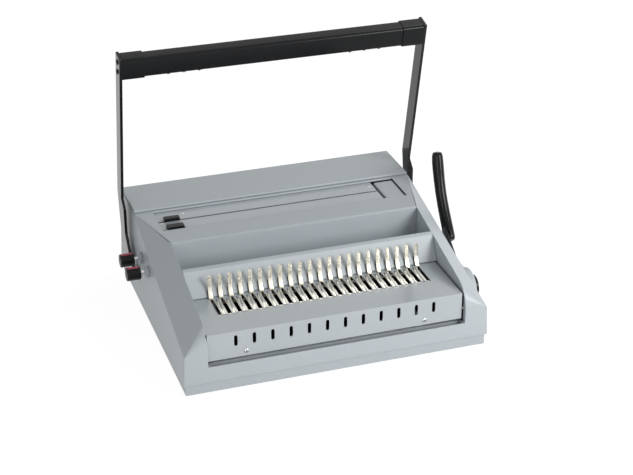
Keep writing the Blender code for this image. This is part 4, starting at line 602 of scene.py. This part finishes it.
bar = solid("crossbar")
bar_low, bar_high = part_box("crossbar")
bar_middle = Vector((0, (bar_low.y + bar_high.y) / 2, (bar_low.z + bar_high.z) / 2))
bar_down = Vector((0, math.sin(BAR_LEAN), -math.cos(BAR_LEAN)))
ribs = []
for x in [side * place for place in RIB_PLACES for side in (-1, 1)]:
    rib = bmesh.new()
    bmesh.ops.create_cone(rib, cap_ends=True, segments=RIB_STEPS, radius1=RIB_RADIUS, radius2=RIB_RADIUS,
                          depth=RIB_LENGTH)
    centre = bar_middle + bar_down * (BAR_HEIGHT / 2 - RIB_RADIUS + RIB_PROUD) + Vector((x, 0, 0))
    bmesh.ops.rotate(rib, verts=rib.verts, cent=(0, 0, 0),
                     matrix=Matrix.Rotation(BAR_LEAN - math.pi / 2, 3, "X"))
    bmesh.ops.translate(rib, vec=centre, verts=rib.verts)
    ribs.append(round_edges(rib, RIB_EDGE, sharper_than=60))
publish("crossbar_finished", join_shapes(bar, *ribs), "handle", "black_plastic", gloss_black,
        replaced=("crossbar",))


# %% [markdown]
# The side lever is a moulded arm with a longer grip pushed on its end. Both solids have their full
# shape already, so the arm only needs its edges, and the grip its worn finish.


# %% Side lever
LEVER_EDGE = 0.7

publish("side_lever_finished", round_edges(solid("side_lever"), LEVER_EDGE), "lever", "black_plastic",
        gloss_black, replaced=("side_lever",))
publish("lever_grip_finished", solid("lever_grip"), "lever", "black_plastic", grip_black,
        replaced=("lever_grip",), smooth_below=50)


# %% [markdown]
# A knob is a turned shape: its profile is drawn once from the axis outwards and spun about X. The ribs
# are there for the finger tips. A red inlay lies along the top of each.

# %% Knob shapes
KNOB_RIBS = 6
KNOB_ROUND = 1.2 * MM
GROOVE_DEPTH = 0.8 * MM
# Each groove between two ribs, as shares of the ribs' pitch and of the groove's depth
GROOVE_SECTION = ((-0.35, 0), (-0.27, 1), (-0.03, 1), (0.05, 0))
SPIN_STEPS = 40


def knob_shape(low, high):
    centre = (low + high) / 2
    radius = (high.z - low.z) / 2
    length = high.x - low.x
    pitch = (length - 2 * KNOB_ROUND) / KNOB_RIBS
    profile = [(0, 0), (0, radius - KNOB_ROUND), (KNOB_ROUND / 3, radius - KNOB_ROUND / 3),
               (KNOB_ROUND, radius)]
    for k in range(KNOB_RIBS - 1):
        edge = KNOB_ROUND + pitch * (k + 1)
        for along, depth in GROOVE_SECTION:
            profile.append((edge + pitch * along, radius - GROOVE_DEPTH * depth))
    profile += [(length - KNOB_ROUND, radius), (length, radius - KNOB_ROUND), (length, 0)]
    knob = bmesh.new()
    corners = [knob.verts.new((low.x + x, centre.y, centre.z + r)) for x, r in profile]
    edges = [knob.edges.new(pair) for pair in zip(corners, corners[1:])]
    bmesh.ops.spin(knob, geom=corners + edges, cent=centre, axis=(1, 0, 0), angle=math.tau,
                   steps=SPIN_STEPS, use_merge=True)
    bmesh.ops.remove_doubles(knob, verts=knob.verts, dist=0.01 * MM)
    bmesh.ops.recalc_face_normals(knob, faces=knob.faces)
    return knob


def x_rod(start, end, centre, radius, steps):
    rod = bmesh.new()
    bmesh.ops.create_cone(rod, cap_ends=True, segments=steps, radius1=radius, radius2=radius,
                          depth=end - start)
    bmesh.ops.rotate(rod, verts=rod.verts, cent=(0, 0, 0), matrix=Matrix.Rotation(math.pi / 2, 3, "Y"))
    bmesh.ops.translate(rod, vec=((start + end) / 2, centre.y, centre.z), verts=rod.verts)
    return rod


# %% [markdown]
# Each knob sits on a rod that is bright steel where it shows, and passes a soft round boss on the side
# wall. The other end of the rod carries the paper guide, a black head in the throat.

# %% Knobs, rods and guides
INLAY_WIDTH = 5 * MM
INLAY_END = 1.6 * MM
INLAY_DEPTH = 1.5 * MM
INLAY_SUNK = 0.05 * MM
INLAY_EDGE = 0.35
SLEEVE_RADIUS = 3.2 * MM
SLEEVE_END_X = -0.2000
SLEEVE_STEPS = 32
BOSS_RADIUS = 8.4 * MM
BOSS_FACE_X = -0.2183
BOSS_ROOT_X = -0.2125
BOSS_EDGE = 1.8
BOSS_STEPS = 48
GUIDE_EDGE = 0.35

for label, body in (("front_guide", "front_stop"), ("rear_guide", "rear_stop")):
    knob = label + "_knob"
    low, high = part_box(knob)
    publish(knob + "_finished", knob_shape(low, high), body, "black_plastic", plain_black_and_recess_shade, replaced=(knob,))
    middle = (low + high) / 2
    inlay = box_shape((low.x + INLAY_END, middle.y - INLAY_WIDTH / 2, high.z - INLAY_DEPTH),
                      (high.x - INLAY_END, middle.y + INLAY_WIDTH / 2, high.z - INLAY_SUNK))
    publish(knob + "_inlay", round_edges(inlay, INLAY_EDGE), body, "black_plastic", red_inlay)
    sleeve = x_rod(high.x - MM, SLEEVE_END_X, middle, SLEEVE_RADIUS, SLEEVE_STEPS)
    publish(label + "_rod_sleeve", sleeve, body, "bright_steel", bright_steel)
    boss = x_rod(BOSS_FACE_X, BOSS_ROOT_X, middle, BOSS_RADIUS, BOSS_STEPS)
    publish(label + "_boss", round_edges(boss, BOSS_EDGE, segments=4, sharper_than=60), "machine",
            "cover_plastic", shell_abs)
    publish(label + "_finished", round_edges(solid(label), GUIDE_EDGE), body, "black_plastic", plain_black_and_recess_shade,
            replaced=(label,))


# %% [markdown]
# The front guide's head has fine ribs across it, so that a finger finds it without looking.

# %% Ribs on the front guide
HEAD_RIB_PITCH = 2.5 * MM
HEAD_RIB_WIDTH = 1.3 * MM
HEAD_RIB_PROUD = 0.5 * MM
HEAD_RIB_DEPTH = 6 * MM
HEAD_RIB_FIRST = 0.3
HEAD_RIB_EDGE = 0.3
HEAD_FOOT_Z = 132.3 * MM

front_heads = [v.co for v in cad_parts["front_guide"].data.vertices if v.co.z > HEAD_FOOT_Z]
head_left = min(place.x for place in front_heads)
head_right = max(place.x for place in front_heads)
head_front = min(place.y for place in front_heads)
head_top = max(place.z for place in front_heads)
ribs = []
for k in range(int((head_right - head_left) / HEAD_RIB_PITCH)):
    start = head_left + HEAD_RIB_PITCH * (k + HEAD_RIB_FIRST)
    rib = box_shape((start, head_front - HEAD_RIB_PROUD, HEAD_FOOT_Z),
                    (start + HEAD_RIB_WIDTH, head_front + HEAD_RIB_DEPTH, head_top + HEAD_RIB_PROUD))
    ribs.append(round_edges(rib, HEAD_RIB_EDGE, sharper_than=30))
publish("front_guide_ribs", join_shapes(*ribs), "front_stop", "black_plastic", plain_black_and_recess_shade)


# %% [markdown]
# Screws have a low dome with a cross recess. The dome is a spun arc. The recess is not cut: the shade inside
# it is painted, as a small black cross in the dome's flat middle.

# %% Screw heads
HEAD_STEPS = 24
# Shares of the head's radius and height, from the middle of the dome out to the rim and back under it
HEAD_PROFILE = ((0, 0.62), (0.12, 0.66), (0.2, 0.95), (0.3, 1.0), (0.55, 0.92), (0.8, 0.62), (0.95, 0.25),
                (1.0, 0), (0, 0))
# The painted shade of the recess, also as shares of the head's radius and height
RECESS_REACH = 0.62
RECESS_HALF = 0.11
RECESS_FLOOR = 0.55
RECESS_TOP = 0.99
RECESS_TURN = 0.3


def set_facing(shape, outward, centre):
    # A head is made looking up, then turned so that its dome faces outward
    spin = Vector((0, 0, 1)).rotation_difference(outward).to_matrix()
    bmesh.ops.rotate(shape, verts=shape.verts, cent=(0, 0, 0), matrix=spin)
    bmesh.ops.translate(shape, vec=centre, verts=shape.verts)
    return shape


def dome(radius, height):
    head = bmesh.new()
    corners = [head.verts.new((r * radius, 0, h * height)) for r, h in HEAD_PROFILE]
    edges = [head.edges.new(pair) for pair in zip(corners, corners[1:])]
    bmesh.ops.spin(head, geom=corners + edges, cent=(0, 0, 0), axis=(0, 0, 1), angle=math.tau,
                   steps=HEAD_STEPS, use_merge=True)
    bmesh.ops.remove_doubles(head, verts=head.verts, dist=0.01 * MM)
    bmesh.ops.recalc_face_normals(head, faces=head.faces)
    return head


def recess_shade_cross(radius, height):
    # Painted shade: two thin black bars, level with the dome's flat middle, stand for the dark hollow of the
    # recess
    bars = []
    for turned in (0, math.pi / 2):
        bar = box_shape((-radius * RECESS_REACH, -radius * RECESS_HALF, height * RECESS_FLOOR),
                        (radius * RECESS_REACH, radius * RECESS_HALF, height * RECESS_TOP))
        bmesh.ops.rotate(bar, verts=bar.verts, cent=(0, 0, 0),
                         matrix=Matrix.Rotation(turned + RECESS_TURN, 3, "Z"))
        bars.append(bar)
    cross = join_shapes(*bars)
    # The bars take the head's second finish, plain black, as painted shade
    for face in cross.faces:
        face.material_index = 1
    return cross


def screw_head(centre, outward, radius, height):
    return join_shapes(set_facing(dome(radius, height), outward, centre),
                       set_facing(recess_shade_cross(radius, height), outward, centre))


# %% [markdown]
# The same head serves three places: two screws hold the panel, two hold each end of the handle's bar, and
# two small ones hold the rear throat plate.

# %% Screws
PANEL_HEAD_HEIGHT = 1.4 * MM
ARM_HEAD_HEIGHT = 1.6 * MM
THROAT_HEAD_HEIGHT = 0.9 * MM
THROAT_HEAD_RADIUS = 2.3 * MM
THROAT_SCREW_X = 0.1430
THROAT_SCREW_Y = FRONT_FACE_Y + 281 * MM

# Each head's second finish, plain black, is the painted shade in its cross recess
for node in ("panel_screw_left", "panel_screw_right"):
    low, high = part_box(node)
    middle = Vector(((low.x + high.x) / 2, low.y + PANEL_HEAD_HEIGHT, (low.z + high.z) / 2))
    head = screw_head(middle, Vector((0, -1, 0)), (high.x - low.x) / 2, PANEL_HEAD_HEIGHT)
    publish(node + "_finished", head, "machine", "bright_steel", bright_steel, plain_black_and_recess_shade, replaced=(node,))
for node in ("arm_screw_left_upper", "arm_screw_left_lower", "arm_screw_right_upper",
             "arm_screw_right_lower"):
    low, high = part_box(node)
    side = -1 if "left" in node else 1
    outer = high.x if side > 0 else low.x
    middle = Vector((outer - side * ARM_HEAD_HEIGHT, (low.y + high.y) / 2, (low.z + high.z) / 2))
    head = screw_head(middle, Vector((side, 0, 0)), (high.z - low.z) / 2, ARM_HEAD_HEIGHT)
    publish(node + "_finished", head, "handle", "black_paint", arm_paint, plain_black_and_recess_shade, replaced=(node,))
throat_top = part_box("throat_back_plate")[1].z
for side, word in ((-1, "left"), (1, "right")):
    place = Vector((side * THROAT_SCREW_X, THROAT_SCREW_Y, throat_top))
    head = screw_head(place, Vector((0, 0, 1)), THROAT_HEAD_RADIUS, THROAT_HEAD_HEIGHT)
    publish("throat_screw_" + word, head, "machine", "bright_steel", bright_steel, plain_black_and_recess_shade)


# %% [markdown]
# The works inside the covers are seen only through slots and from below, so their solids stay as they
# are and only take the right metal.

# %% Inner works
for node, body in sorted(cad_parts.items()):
    if body.hide_render:
        continue
    if "bush" in node:
        used = turned_brass
    elif node.startswith("foot_"):
        used = foot_rubber
    elif node in ("lever_shaft", "punch_shaft", "comb_pin_bar", "wire_pin_bar"):
        used = bright_steel
    else:
        used = zinc_plate
    body.data.materials.clear()
    body.data.materials.append(used)
    print("finish:", node, used.name)
